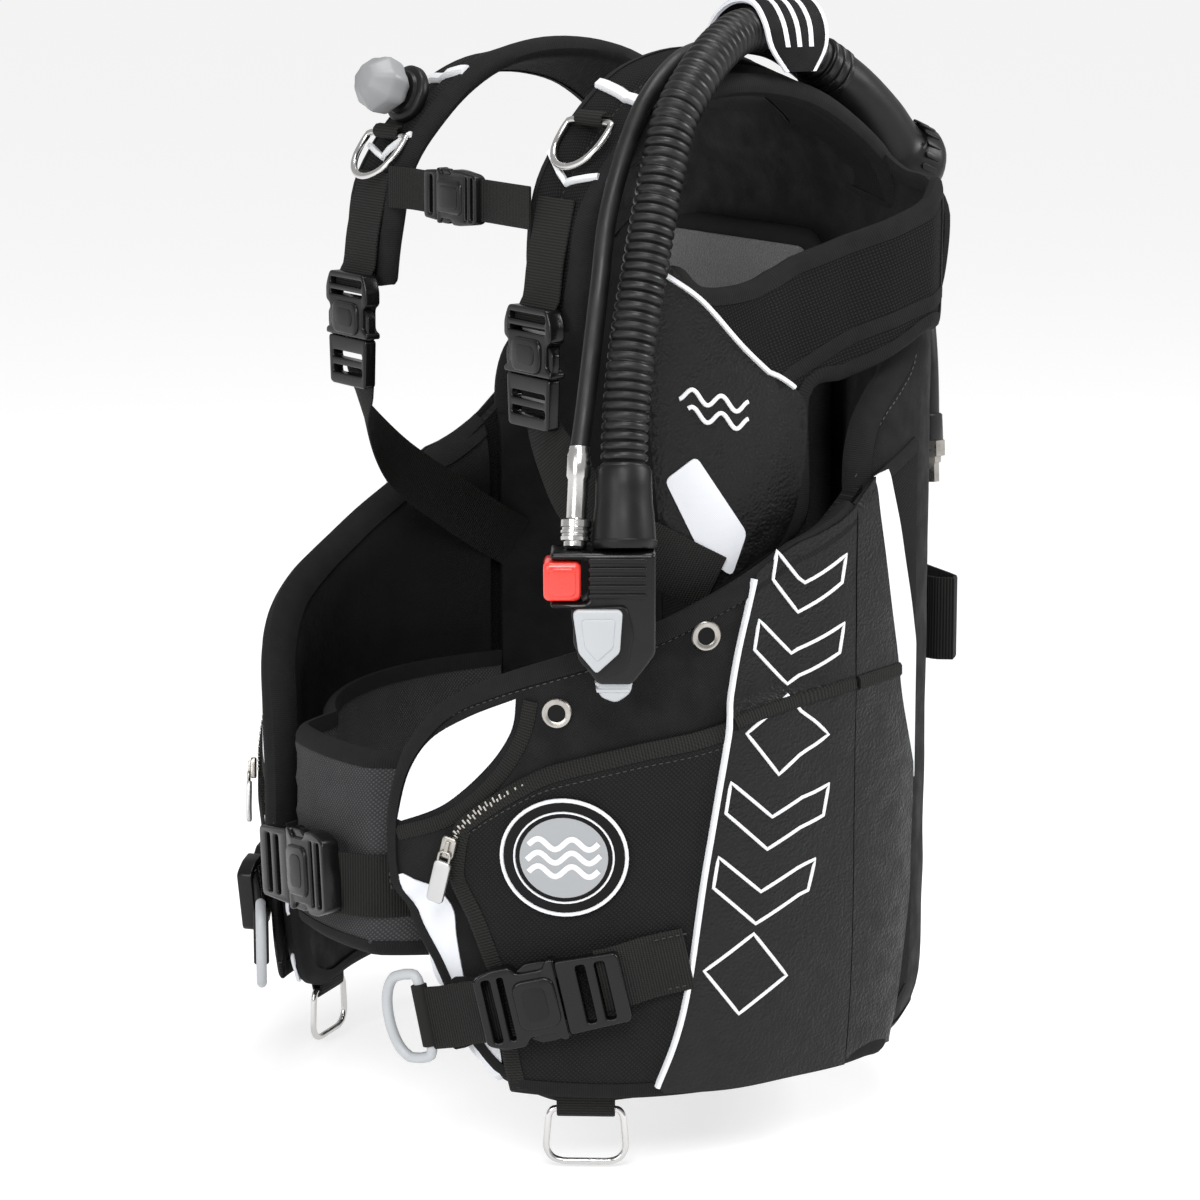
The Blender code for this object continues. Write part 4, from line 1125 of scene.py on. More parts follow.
def weight_pouch():
    ring = smooth(pattern(*POUCH_OUTLINE), 0.005, closed=True)
    panel = Panel(ring, ring_place, constant(0.2064), constant(0.2000), drop=0.0016, rim=0.0022, reach=0.006)
    padded(both(panel.solid("left_weight_pouch_skin", twill(), 0.007), "left_weight", "black_fabric",
                "left_weight_pouch"))

    def lean(angle):
        """The webbing's width runs up and a little to the wearer's right."""
        return Vector((0, 0, 1)) - leftward(angle) * 0.23

    def web(name, route, thick):
        stations = [(wrap(a, h, r), lean(a), WIDE_WEB - 0.001) for a, h, r in route]
        return strap(name, webbing(), stations, thick)

    bar = lean(28.2)
    fold = turned("fold", webbing(), wrap(28.2, 0.090, 0.2135) - bar.normalized() * 0.0185, bar,
                  [(0, 0.0040), (0.0004, 0.0048), (0.0366, 0.0048), (0.037, 0.0040)], 16)
    both(join("left_weight_tongue", web("web", POUCH_TONGUE, 0.0030), fold), "left_weight", "webbing")
    both(web("left_weight_tail", POUCH_TAIL, 0.0022), "left_lobe", "webbing")
    dashes = []
    for offset in (-0.0155, 0.0155):
        row = [wrap(a, h + offset, 0.2171) for a, h in ((65.0, 0.1275), (68, 0.1295), (70.4, 0.1309))]
        dashes.append(stitch_row("row", row, [outward(64)] * 3))
    both(join("left_weight_tail_stitches", *dashes), "left_lobe", "webbing")


def around_outline(top, bottom, spacing):
    """The outline between an upper and a lower edge, closed by straight sides."""
    right = straight([top[-1][:2], bottom[0][:2]], spacing)
    left = straight([bottom[-1][:2], top[0][:2]], spacing)
    return top[:-1] + right[:-1] + bottom[:-1] + left[:-1]


def air_cell():
    sew = sewn_on("harness", put)
    top = smooth(pattern(*AIR_CELL_TOP), 0.006)
    bottom = smooth(pattern(*AIR_CELL_BOTTOM), 0.006)

    def back(u, v):
        return 0.164 + 0.023 * ease(34, 68, abs(angle_of(u) - 180))

    def front(u, v):
        quilted = ease(128, 136, angle_of(u)) * ease(-232, -224, -angle_of(u))
        return 0.2112 + 0.00132 * math.cos(u * 2 * math.pi / 0.11) * quilted

    panel = Panel(around_outline(top, bottom, 0.008), ring_place, front, back, [top, bottom], drop=0.012,
                  rim=0.004, reach=0.030, back_reach=0.03, ripple=0.0010)
    shell = panel.solid("air_cell_skin", twill(), 0.009)

    def held(u, v):
        away = abs(angle_of(u) - 180)
        return panel.depth(u, v) < 0.014 or away > 57 or away < 26

    billow(shell, panel, held, 0.011)
    padded([sew(shell, "black_fabric", "air_cell")])
    sew(panel.binding("air_cell_top_binding", binding_tape(), top))
    sew(panel.binding("air_cell_hem", binding_tape(), bottom))
    seam = [(a, h - 0.013) for a, h in AIR_CELL_TOP[1:-1]]
    sew(panel.stitches("air_cell_stitches", smooth(pattern(*seam), 0.006)))


def gusset():
    """Soft cloth across the side seam."""
    corners = pattern((94, 0.052), (94, 0.372), (103.5, 0.400), (103.5, 0.052), (94, 0.052))
    panel = Panel(straight(corners, 0.006)[:-1], ring_place, constant(0.2055), constant(0.1950), [],
                  ripple=0.0006)
    piece = panel.solid("left_gusset", mesh_cloth(), 0.006)
    for obj, body, side in ((piece, "left_lobe", 1), (twin(piece), "right_lobe", -1)):
        start, end = wrap(97.0 * side, 0.2, 0.200), wrap(101.6 * side, 0.2, 0.200)
        tuple(start)
        tuple(end)
        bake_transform(obj)


def side_panel():
    """The strip of leather, white band and cloth behind the side seam."""
    sew = sewn_on("harness")
    top = smooth(pattern((98.3, 0.3865), (102.5, 0.398), (106.4, 0.405), (112, 0.412), (118, 0.418)), 0.005)
    hem = smooth(pattern((118, 0.080), (113.6, 0.070), (110, 0.052), (104, 0.051), (98.3, 0.050)), 0.005)
    panel = Panel(around_outline(top, hem, 0.007), ring_place, constant(SIDE_FRONT + 0.0012),
                  constant(SIDE_FRONT - 0.0016), [top, hem], drop=0.0016, rim=0.0012, reach=0.008,
                  ripple=0.0006)
    for piece in sew(panel.solid("left_side_skin", mesh_cloth(), 0.007)):
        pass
    left, right = ([p[:2] for p in smooth(pattern(*edge), 0.005)] for edge in (BAND_LEFT, BAND_RIGHT))
    band = left + [np.array((min(u, math.radians(117.8) * RING), v)) for u, v in right]
    sew(panel.overlay("left_side_band", satin_white(), band, 0.0004, 0.0008, cell=0.005))
    below = [p[:2] for p in smooth(pattern((117.4, 0.224), (117.2, 0.190), (116.5, 0.150), (114, 0.100),
                                           (111.5, 0.055)), 0.005)]
    high, low = (np.array(p) for p in pattern((98.35, 0.3865), (98.35, 0.053)))
    strip = [high] + left + below[1:] + straight([low, high], 0.007)[:-1]
    sew(panel.overlay("left_side_leather", leather(), strip, 0.0003, 0.0007, cell=0.006), "grained_skin")
    sew(panel.binding("left_side_hem", binding_tape(), hem, 0.009))
    sew(panel.binding("left_side_top", binding_tape(), top, 0.007))
    seam = smooth(pattern((98.8, 0.2815), (104, 0.283), (110.5, 0.284)), 0.005)
    sew(panel.line("left_side_seam", webbing(), seam, 0.0085, 0.0022, 0.0008), "webbing")


def chest_panel():
    """On the wearer's left only. The right armhole is open."""
    sew = sewn_on("harness", put)
    outline = smooth(pattern(*CHEST_RIM), 0.004, closed=True)

    def inner(u, v):
        return between(CHEST_RADIUS, angle_of(u))[0] - 0.0003

    panel = Panel(outline, ring_place, lambda u, v: inner(u, v) + 0.0085, inner, drop=0.0026, rim=0.0030,
                  reach=0.012, back_reach=0.012, ripple=0.0008)
    skin = panel.solid("left_chest_skin", mesh_cloth(), 0.006)
    padded([sew(skin, "grained_skin", "left_chest_panel")])
    sew(panel.binding("left_chest_binding", binding_tape(), outline, 0.009, closed=True))
    cut = smooth(pattern(*CHEST_LEATHER), 0.004, closed=True)
    sew(panel.overlay("left_chest_leather", leather(), cut, 0.0003, cell=0.006), "grained_skin")
    piping = smooth(pattern(*CHEST_PIPING), 0.004)
    sew(panel.line("left_chest_piping", white_piping(), piping, 0.0032, 0.0026, 0.0004))
    patch = pattern((68.9, 0.4035), (74.8, 0.4165), (85.2, 0.370), (82.0, 0.3455), (76, 0.359))
    sew(panel.overlay("left_side_patch", satin_white(), smooth_corners(patch, 0.004), 0.0016, cell=0.005))
    marks, middle = [], math.radians(78.5) * RING
    for k, drop in enumerate((0.0, 0.010)):
        wave = [(middle + x, 0.448 - x * 0.22 - drop + 0.0036 * math.sin(x * 2 * math.pi / 0.020))
                for x in np.linspace(-0.024 + k * 0.006, 0.024, 44)]
        marks.append(panel.line("mark", white_piping(), wave, 0.0026, 0.0009, 0.0010))
    sew(join("left_chest_mark", *marks), "grained_skin")
    sew(panel.line("left_collar_seam", binding_tape(), smooth(pattern(*COLLAR_SEAM), 0.004), 0.009, 0.0010))


def waist_radius(angle):
    return 0.1640 + 0.025 * min(1, max(0, (22 - abs(angle)) / 9))


def cummerbund():
    sew = sewn_on("harness", put)
    low, high = 0.113, 0.236
    top = straight(pattern((-98, high), (98, high)), 0.006)
    hem = straight(pattern((98, low), (-98, low)), 0.006)

    def inner(u, v):
        return waist_radius(angle_of(u))

    def outer(u, v):
        ribs = 0.5 + 0.5 * math.cos(2 * math.pi * (v - low) / 0.0205)
        return inner(u, v) + 0.0072 - 0.0012 * ribs ** 4

    panel = Panel(around_outline(top, hem, 0.006), ring_place, outer, inner, drop=0.003, rim=0.003, reach=0.008,
                  back_reach=0.008)
    padded([sew(panel.solid("cummerbund_skin", grey_cordura(), 0.006), "black_fabric", "cummerbund")])
    sew(panel.binding("cummerbund_top", binding_tape(), top, 0.009))
    sew(panel.binding("cummerbund_hem", binding_tape(), hem, 0.009))


def waist_belts():
    for name, angles in (("left_waist_belt", (4.5, 7, 10, 13, 16, 22, 40, 55, 70)),
                         ("right_waist_belt", (-70, -55, -40, -22, -19, -16.5, -13.5))):
        stations = []
        for a in angles:
            rise = 0.0085 * ease(13, 7, abs(a + 4) if a < 0 else a)
            stations.append((wrap(a, WAIST_H, waist_radius(a) + 0.0090 + rise), (0, 0, 1), WIDE_WEB))
        put(strap(name + "_web", webbing(), stations), "harness", "webbing", name)


# Shoulders and back

SHOULDER = [(0.098, 0.121, 0.5535, 0.100), (0.100, 0.103, 0.588, 0.098), (0.100, 0.060, 0.620, 0.088),
            (0.100, 0.012, 0.629, 0.078), (0.101, -0.030, 0.621, 0.070), (0.103, -0.062, 0.597, 0.066),
            (0.104, -0.0885, 0.562, 0.062), (0.105, -0.0970, 0.522, 0.058), (0.105, -0.0975, 0.492, 0.046)]
PAD_THICK = 0.012
PAD_BAR, PAD_COLLAR, PAD_POINT = 0.612, 0.576, 0.5665   # heights of the white bar and of the V below it


def billow(obj, panel, held, cap):
    """Simulate the cloth with a little air in it. held(u, v) tells what the seams hold."""
    group = obj.vertex_groups.new(name="held")
    count = len(panel.points)
    for i in range(len(obj.data.vertices)):
        if held(*panel.points[i % count]):
            group.add([i], 1.0, "REPLACE")
    cloth = obj.modifiers.new("cloth", "CLOTH")
    for key, value in CLOTH.items():
        setattr(cloth.settings, key, value)
    cloth.settings.vertex_group_mass = "held"
    cloth.settings.effector_weights.gravity = 0
    cloth.point_cache.frame_end = SIM_FRAMES
    rest = np.array([v.co for v in obj.data.vertices])
    for step in range(1, SIM_FRAMES + 1):
        bpy.context.scene.frame_set(step)
    graph = bpy.context.evaluated_depsgraph_get()
    moved = np.array([v.co for v in obj.evaluated_get(graph).data.vertices]) - rest
    obj.modifiers.remove(cloth)
    obj.vertex_groups.clear()
    bpy.context.scene.frame_set(1)
    far = np.maximum(np.linalg.norm(moved, axis=1), 1e-9)
    kept = cap * np.tanh(far / cap) / far
    for v, p in zip(obj.data.vertices, rest + moved * kept[:, None]):
        v.co = p


class Route:
    """Places flat patterns on the shoulder pad: u along the pad, v across it."""

    def __init__(self, stations):
        self.rows = [np.array((*at(*p[:3]), p[3])) for p in smooth(stations, 0.006)]
        steps = [np.linalg.norm(b[:3] - a[:3]) for a, b in zip(self.rows, self.rows[1:])]
        self.runs = np.concatenate([[0], np.cumsum(steps)])
        self.length = float(self.runs[-1])
        self.side = Vector((1, 0, -0.2)).normalized()

    def row(self, u):
        return np.array([np.interp(u, self.runs, [r[k] for r in self.rows]) for k in range(4)])

    def reach(self, h):
        """Run of the point at height h on the front."""
        front = [(r[2], run) for r, run in zip(self.rows, self.runs) if r[1] < at(0, 0, 0).y]
        return float(np.interp(at(0, 0, h).z, *zip(*sorted(front))))

    def place(self, u, v, w):
        e = 0.004
        ahead, behind = self.row(min(u + e, self.length)), self.row(max(u - e, 0))
        along = Vector(ahead[:3] - behind[:3]).normalized()
        up = along.cross(self.side).normalized()
        over = min(u, 0) + max(u - self.length, 0)
        return Vector(self.row(u)[:3]) + along * over + self.side * v + up * w


def shoulder_pad():
    route = Route(SHOULDER)
    count = 48
    us = [route.length * i / count for i in range(count + 1)]
    left = [np.array((u, -route.row(u)[3] / 2)) for u in us]
    right = [np.array((u, route.row(u)[3] / 2)) for u in us]
    tip = route.row(route.length)[3] / 2
    nose = [np.array((route.length + 0.006 * math.sin(math.pi * k / 8), tip * math.cos(math.pi * k / 8)))
            for k in range(1, 8)]
    heel = straight([left[0], right[0]], 0.006)[1:-1]
    outline = right + nose + left[::-1] + heel

    def top(u, v):
        groove = math.exp(-(v / 0.0035) ** 2) * 0.0022
        return PAD_THICK / 2 + 0.0004 - groove

    panel = Panel(outline, route.place, top, constant(-PAD_THICK / 2 + 0.0004), drop=0.0050, rim=0.0035,
                  reach=0.012, back_reach=0.010, ripple=0.0008)
    pad = panel.solid("left_shoulder_skin", mesh_cloth(), 0.005)
    billow(pad, panel, lambda u, v: panel.depth(u, v) < 0.014 or abs(v) < 0.003, 0.003)
    sew = sewn_on("harness")
    padded(sew(pad, "black_fabric", "left_shoulder_pad"))
    sew(panel.binding("left_shoulder_binding", binding_tape(), outline, 0.0085, closed=True))
    bar, collar, point = (route.reach(h) for h in (PAD_BAR, PAD_COLLAR, PAD_POINT))
    half = route.row(bar)[3] / 2 - 0.006
    across = [np.array((bar, v)) for v in np.linspace(-half, half, 12)]
    sew(panel.line("left_shoulder_bar", white_piping(), across, 0.0075, 0.0030, 0.0002))
    half = route.row(collar)[3] / 2 - 0.006
    corners = [np.array(p) for p in ((collar, -half), (point, 0), (collar, half))]
    sew(panel.line("left_shoulder_point", white_piping(), straight(corners, 0.004), 0.0040, 0.0026, 0.0002))
    sew(panel.stitches("left_shoulder_stitches", [np.array((u, 0.0)) for u in us[4:40]]))


def back_pad():
    half, low, high, corner = 0.088, 0.190, 0.528, 0.030
    corners = rounded(-half, low, half, high, corner, 6)
    outline = straight(corners + corners[:1], 0.006)[:-1]

    def place(u, v, w):
        return at(u, 0.1145 - w, v)

    def face(u, v):
        quilt = 0.0016 * (math.cos(2 * math.pi * v / 0.056) - 1)
        return 0.0158 + quilt * ease(0.085, 0.06, abs(u))

    panel = Panel(outline, place, face, constant(0.0006), drop=0.006, rim=0.004, reach=0.018, back_reach=0.012,
                  ripple=0.0006)
    pad = panel.solid("back_pad_skin", mesh_cloth(), 0.007)
    billow(pad, panel, lambda u, v: panel.depth(u, v) < 0.012 or v > 0.462, 0.005)
    sew = sewn_on("harness", put)
    padded([sew(pad, "black_fabric", "back_pad")])
    sew(panel.binding("back_pad_binding", binding_tape(), outline, 0.009, closed=True))
    top = rounded(-half + 0.010, 0.478, half - 0.010, high - 0.009, 0.012, 4)
    sew(panel.overlay("collar_plush", plush(), straight(top + top[:1], 0.006)[:-1], 0.0003, 0.0030, cell=0.006))


def yoke():
    """The padded cloth behind the neck that joins the shoulder pads."""
    half = [(0, 0.606), (0.030, 0.607), (0.052, 0.607), (0.075, 0.605), (0.105, 0.600), (0.136, 0.588),
            (0.160, 0.572), (0.186, 0.566), (0.190, 0.530), (0.176, 0.494), (0.135, 0.488), (0.070, 0.490)]
    outline = smooth(half + [(0, 0.492)] + [(-x, h) for x, h in half[:0:-1]], 0.005, closed=True)

    def place(u, v, w):
        lean = 0.026 * ease(0.545, 0.606, v)
        return at(u, 0.1250 - lean - 0.10 * max(0.0, abs(u) - 0.11) + w, v)

    panel = Panel(outline, place, constant(0.0040), constant(-0.0045), drop=0.0022, rim=0.0036, reach=0.014,
                  back_reach=0.014, ripple=0.0006)
    cloth = panel.solid("back_yoke", twill(), 0.007)
    billow(cloth, panel, lambda u, v: panel.depth(u, v) < 0.012, 0.004)
    sew = sewn_on("harness", put)
    padded([sew(cloth)])
    sew(panel.binding("back_yoke_binding", binding_tape(), outline, 0.009, closed=True))


def chest_web(name, points, node):
    stations = [(at(*p), (0, 0, 1), SLIM_WEB) for p in points]
    put(strap(name, webbing(), stations), "harness", "webbing", node)


def side_web(name, route, node):
    """Wide webbing from a shoulder buckle to the side. It turns from facing forward to facing out."""
    points = [at(*p) for p in route]
    stations = []
    for i, centre in enumerate(points):
        ahead, behind = points[min(i + 1, len(points) - 1)], points[max(i - 1, 0)]
        along = (ahead - behind).normalized()
        turn = ease(1, 4, i)
        out = Vector((centre.x * turn, -0.11 * (1 - turn) + (centre.y + PAD_Y) * turn, 0)).normalized()
        stations.append((centre, along.cross(out), WIDE_WEB * 0.9))
    put(strap(name, webbing(), stations), "harness", "webbing", node)


def harness_straps():
    stations = [(at(*p), (1, 0, 0), WIDE_WEB) for p in SHOULDER_WEB]
    both(strap("left_shoulder_web", webbing(), stations), "harness", "webbing", "left_shoulder_webbing")
    side_web("left_side_web", LEFT_SIDE_WEB, "left_side_webbing")
    side_web("right_side_web", RIGHT_SIDE_WEB, "right_side_webbing")
    chest_web("left_chest_web", LEFT_CHEST_WEB, "left_chest_strap")
    chest_web("right_chest_web", RIGHT_CHEST_WEB, "right_chest_strap")


# Buckles, rings and back plate

def buckle(socket, plug, matrix, long, wide, thick, body, plug_body, slots="black_plastic", reach=0.06):
    """A side-release buckle. X runs from the socket's strap to the plug's, Z is outward."""
    mouth = reach * long
    matrix = matrix @ Matrix.Translation((0, 0, thick / 2))
    low, high = -thick / 2, thick / 2
    half, start, stop = wide / 2, -long / 2, long / 2
    shell = [(start + 0.004, -half * 0.90), (start, -half * 0.80), (start, half * 0.80),
             (start + 0.004, half * 0.90)]
    waist = [(mouth - long * 0.42, half), (mouth - long * 0.30, half), (mouth - long * 0.26, half * 0.80),
             (mouth - long * 0.08, half * 0.80), (mouth - long * 0.05, half), (mouth, half)]
    outline = [(x, -y) for x, y in waist[::-1]] + shell + waist
    slot = rounded(start + long * 0.055, -half * 0.78, start + long * 0.115, half * 0.78, 0.0015, 2)
    bar = rounded(start + long * 0.165, -half * 0.78, start + long * 0.205, half * 0.78, 0.0010, 2)
    shape = smooth_corners(outline, 0.0022)
    base = moulded(socket + "_shell", gloss_black(), [shape, slot, bar], low, high * 0.72, matrix, 0.0012)
    dome = moulded("dome", gloss_black(), [rounded(start + long * 0.25, -half * 0.62, mouth - long * 0.02,
                                                   half * 0.62, half * 0.25)], 0, high, matrix, 0.0016)
    frame = rounded(start + long * 0.31, -half * 0.40, mouth - long * 0.09, half * 0.40, half * 0.18)
    inset = moulded("inset", satin_black(), [frame], 0, high + 0.0004, matrix, 0.0003)
    put(join(socket + "_detail", base, dome, inset), body, slots, socket)
    neck = mouth + 0.0006
    plate = [(neck, -half * 0.92), (stop - long * 0.02, -half * 0.86), (stop, -half * 0.74),
             (stop, half * 0.74), (stop - long * 0.02, half * 0.86), (neck, half * 0.92)]
    window = rounded(stop - long * 0.17, -half * 0.72, stop - long * 0.10, half * 0.72, 0.0015, 2)
    second = rounded(stop - long * 0.30, -half * 0.72, stop - long * 0.235, half * 0.72, 0.0015, 2)
    base = moulded("base", gloss_black(), [smooth_corners(plate, 0.0025), window, second], low * 0.7,
                   high * 0.62, matrix, 0.0011)
    pieces = [base]
    for sign in (-1, 1):
        prong = [(neck, sign * half * 0.50), (neck, sign * half * 0.96),
                 (mouth - long * 0.06, sign * half * 0.97), (mouth - long * 0.10, sign * half * 0.99),
                 (mouth - long * 0.19, sign * half * 0.99),
                 (mouth - long * 0.26, sign * half * 0.84), (mouth - long * 0.24, sign * half * 0.80)]
        pieces.append(moulded("prong", gloss_black(), [smooth_corners(prong, 0.0012)], low * 0.45, high * 0.45,
                              matrix, 0.0008))
    put(join(plug + "_detail", *pieces), plug_body, slots, plug)


def smooth_corners(points, r):
    """A polygon with its corners rounded by about r."""
    out = []
    count = len(points)
    for i in range(count):
        p = np.array(points[i])
        a, b = np.array(points[i - 1]) - p, np.array(points[(i + 1) % count]) - p
        la, lb = np.linalg.norm(a), np.linalg.norm(b)
        cut = min(r, la * 0.45, lb * 0.45)
        start, stop = p + a / la * cut, p + b / lb * cut
        for t in (0, 0.33, 0.67, 1):
            out.append(tuple((1 - t) ** 2 * start + 2 * t * (1 - t) * p + t * t * stop))
    return out


def buckles():
    for sign, side in ((1, "left"), (-1, "right")):
        flip = Matrix.Scale(sign, 4, (1, 0, 0))
        m = flip @ axes(wrap(50, 0.110, 0.2165), leftward(50) * math.cos(math.radians(13))
                        + Vector((0, 0, math.sin(math.radians(13)))), outward(50))
        buckle(f"{side}_weight_socket", f"{side}_weight_plug", m, 0.086, 0.048, 0.012, f"{side}_weight",
               f"{side}_lobe")
        m = flip @ axes(at(0.105, -0.1080, 0.465), (0, 0, -1), (0, -1, 0))
        buckle(f"{side}_shoulder_socket", f"{side}_shoulder_plug", m, 0.070, 0.050, 0.012, "harness",
               f"{side}_shoulder_plug")
    tilt = math.radians(6)
    m = axes(wrap(-4, 0.156, 0.2005), -leftward(-4) * math.cos(tilt) - Vector((0, 0, math.sin(tilt))),
             outward(-4))
    buckle("waist_socket", "waist_plug", m, 0.092, 0.050, 0.013, "harness", "waist_plug")
    m = axes(at(0, -0.0990, 0.554), (-1, 0, 0), (0, -1, 0))
    buckle("chest_socket", "chest_plug", m, 0.060, 0.033, 0.009, "harness", "chest_plug", reach=0.24)


def d_outline(wide, tall, corner):
    """A D ring: straight bar on top, round below."""
    half = wide / 2
    arc = [(-half * math.cos(a), -corner - (tall - corner) * math.sin(a) ** 0.8)
           for a in [math.pi * k / 14 for k in range(1, 14)]]
    bar = [(half * 0.86, 0), (0, 0), (-half * 0.86, 0), (-half, -corner * 0.6)]
    return bar + arc + [(half, -corner * 0.6)]


def rings():
    tilt = math.radians(13)
    m = axes(wrap(28.2, 0.090, 0.2135), leftward(28.2) * math.cos(tilt) + Vector((0, 0, math.sin(tilt))),
             outward(28.2))
    quarter = Matrix.Rotation(math.radians(-90), 4, "Z")
    ring = wire("left_pull_ring_wire", pale_plastic(), d_outline(0.050, 0.025, 0.010), 0.0032, m @ quarter)
    both(ring, "left_pull_ring", "pale_plastic", "left_pull_ring")
    m = axes(wrap(54.5, 0.0340, 0.1945), leftward(54.5), outward(54.5))
    shape = [(-0.0195, 0), (0.0195, 0), (0.0218, -0.004), (0.0235, -0.024), (0.020, -0.030), (0.014, -0.032),
             (-0.014, -0.032), (-0.020, -0.030), (-0.0235, -0.024), (-0.0218, -0.004)]
    both(wire("left_bottom_ring_wire", steel(), smooth_corners(shape, 0.003), 0.0020, m), "left_bottom_ring",
         "steel", "left_bottom_ring")
    tab = []
    for r, h in ((0.1975, 0.052), (0.1978, 0.040), (0.1965, 0.0315), (0.1945, 0.0300), (0.1925, 0.0318),
                 (0.1915, 0.040), (0.1920, 0.052)):
        tab.append((wrap(54.5, h, r), leftward(54.5), 0.034))
    both(strap("left_ring_tab", webbing(), tab, 0.0018, 0.003), "left_lobe", "webbing")
    down = Vector((0, -0.603, -0.798))
    for side, x, drop in (("left", 0.103, 0.0), ("right", -0.103, 0.025)):
        m = axes(at(x, -0.0730, 0.6035) + down * drop, (1, 0, 0), (0, -0.798, 0.603))
        ring = wire(f"{side}_shoulder_ring_wire", steel(), d_outline(0.046, 0.031, 0.006), 0.0021, m)
        put(ring, f"{side}_shoulder_ring", "steel", f"{side}_shoulder_ring")
        centre = m @ Vector((0, 0.001, -0.0020))
        loop = []
        for k in range(9):
            a = math.pi * (0.15 + 1.7 * k / 8)
            offset = Vector((0, 0.004 * math.cos(a) + 0.001, 0.0038 * math.sin(a) + 0.002))
            loop.append((centre + m.to_3x3() @ offset, (1, 0, 0), 0.028))
        put(strap(f"{side}_ring_loop", webbing(), loop, 0.0014, 0.002), "harness", "webbing")


def back_plate():
    outline = [(-0.070, 0.120), (-0.085, 0.140), (-0.085, 0.440), (-0.060, 0.500), (0.060, 0.500),
               (0.085, 0.440), (0.085, 0.140), (0.070, 0.120)]
    shape = smooth_corners(outline, 0.012)
    window = rounded(-0.035, 0.160, 0.035, 0.235, 0.008)
    m = axes(at(0, 0, 0), (-1, 0, 0), (0, 1, 0))
    flip = [[(-x, h) for x, h in loop] for loop in (shape, window)]
    plate = moulded("plate", satin_black(), flip, 0.1727, 0.1800, m, 0.0016)
    pieces = [plate]
    for x in (-0.055, -0.0275, 0.0275, 0.055):
        pieces.append(moulded("rib", satin_black(), [rounded(x - 0.003, 0.315, x + 0.003, 0.430, 0.0028)],
                              0.178, 0.1815, m, 0.0008))
    for x in (-0.062, 0.062):
        for h in (0.150, 0.205):
            slot = [rounded(x - 0.008, h - 0.018, x + 0.008, h + 0.018, 0.004)]
            pieces.append(moulded("slot", gloss_black(), slot, 0.178, 0.1812, m, 0.0006))
    pad = [rounded(-0.045, 0.345, 0.045, 0.455, 0.012)]
    pieces.append(moulded("grip_pad", hose_rubber(), pad, 0.1800, 0.1850, m, 0.0016))
    for k in range(7):
        h = 0.357 + k * 0.0145
        pieces.append(moulded("grip", hose_rubber(), [rounded(-0.036, h - 0.003, 0.036, h + 0.003, 0.0028)],
                              0.184, 0.1865, m, 0.0009))
    put(join("backpack_plate_detail", *pieces), "harness", "black_plastic", "backpack_plate")
    path = [(-0.046, 0.503), (-0.046, 0.512), (-0.044, 0.528), (-0.030, 0.545), (0, 0.551), (0.030, 0.545),
            (0.044, 0.528), (0.046, 0.512), (0.046, 0.503)]
    stations = [(at(x, 0.1795, h), (0, 1, 0), 0.016) for x, h in path]
    handle = strap("carry_handle_web", webbing(), stations, 0.0055)
    grip = [at(x, 0.1795, h) for x, h in smooth([(-0.026, 0.5468), (0, 0.551), (0.026, 0.5468)], 0.003)]
    tube = sweep("grip", hose_rubber(), grip, [0.0068 if i % 3 else 0.0078 for i in range(len(grip))], 18)
    put(join("carry_handle_detail", handle, tube), "carry_handle", "webbing", "carry_handle")


def tank_band():
    half = [(-0.080, 0.1825), (0, 0.1825), (0.080, 0.1825), (0.100, 0.1860), (0.1055, 0.1930), (0.100, 0.1990),
            (0.070, 0.2050), (0.035, 0.2110), (0, 0.2120), (-0.035, 0.2110), (-0.070, 0.2050),
            (-0.100, 0.1990), (-0.1055, 0.1930), (-0.100, 0.1860)]
    stations = [(at(x, y, 0.285), (0, 0, 1), 0.052) for x, y in half]
    band = strap("tank_band_web", webbing(), stations, 0.0026, 0.006, closed=True)
    put(band, "harness", "webbing", "tank_band")
    m = axes(at(0, 0.2142, 0.285), (1, 0, 0), (0, 1, 0))
    holes = [rounded(-0.030, -0.022, -0.024, 0.022, 0.0025), rounded(0.024, -0.022, 0.030, 0.022, 0.0025)]
    plate = moulded("cam_plate_detail", steel(), [rounded(-0.034, -0.027, 0.034, 0.027, 0.005), *holes],
                    -0.0002, 0.0026, m, 0.0006)
    put(plate, "harness", "steel", "cam_plate")
    lever = moulded("lever", satin_black(), [rounded(-0.032, -0.021, 0.030, 0.021, 0.006)], 0.0036, 0.0078,
                    m, 0.0011)
    grips = [moulded("grip", gloss_black(),
                     [rounded(x - 0.0016, -0.017, x + 0.0016, 0.017, 0.0014, 2)], 0.0070,
                     0.0088, m, 0.0005) for x in (0.004, 0.010, 0.016, 0.022)]
    barrel = turned("barrel", steel(), m @ Vector((-0.030, -0.020, 0.0060)), m.to_3x3() @ Vector((0, 1, 0)),
                    [(0, 0.0024), (0.001, 0.0030), (0.039, 0.0030), (0.040, 0.0024)], 18)
    put(join("cam_lever_detail", lever, barrel, *grips), "cam_lever", "steel", "cam_lever")


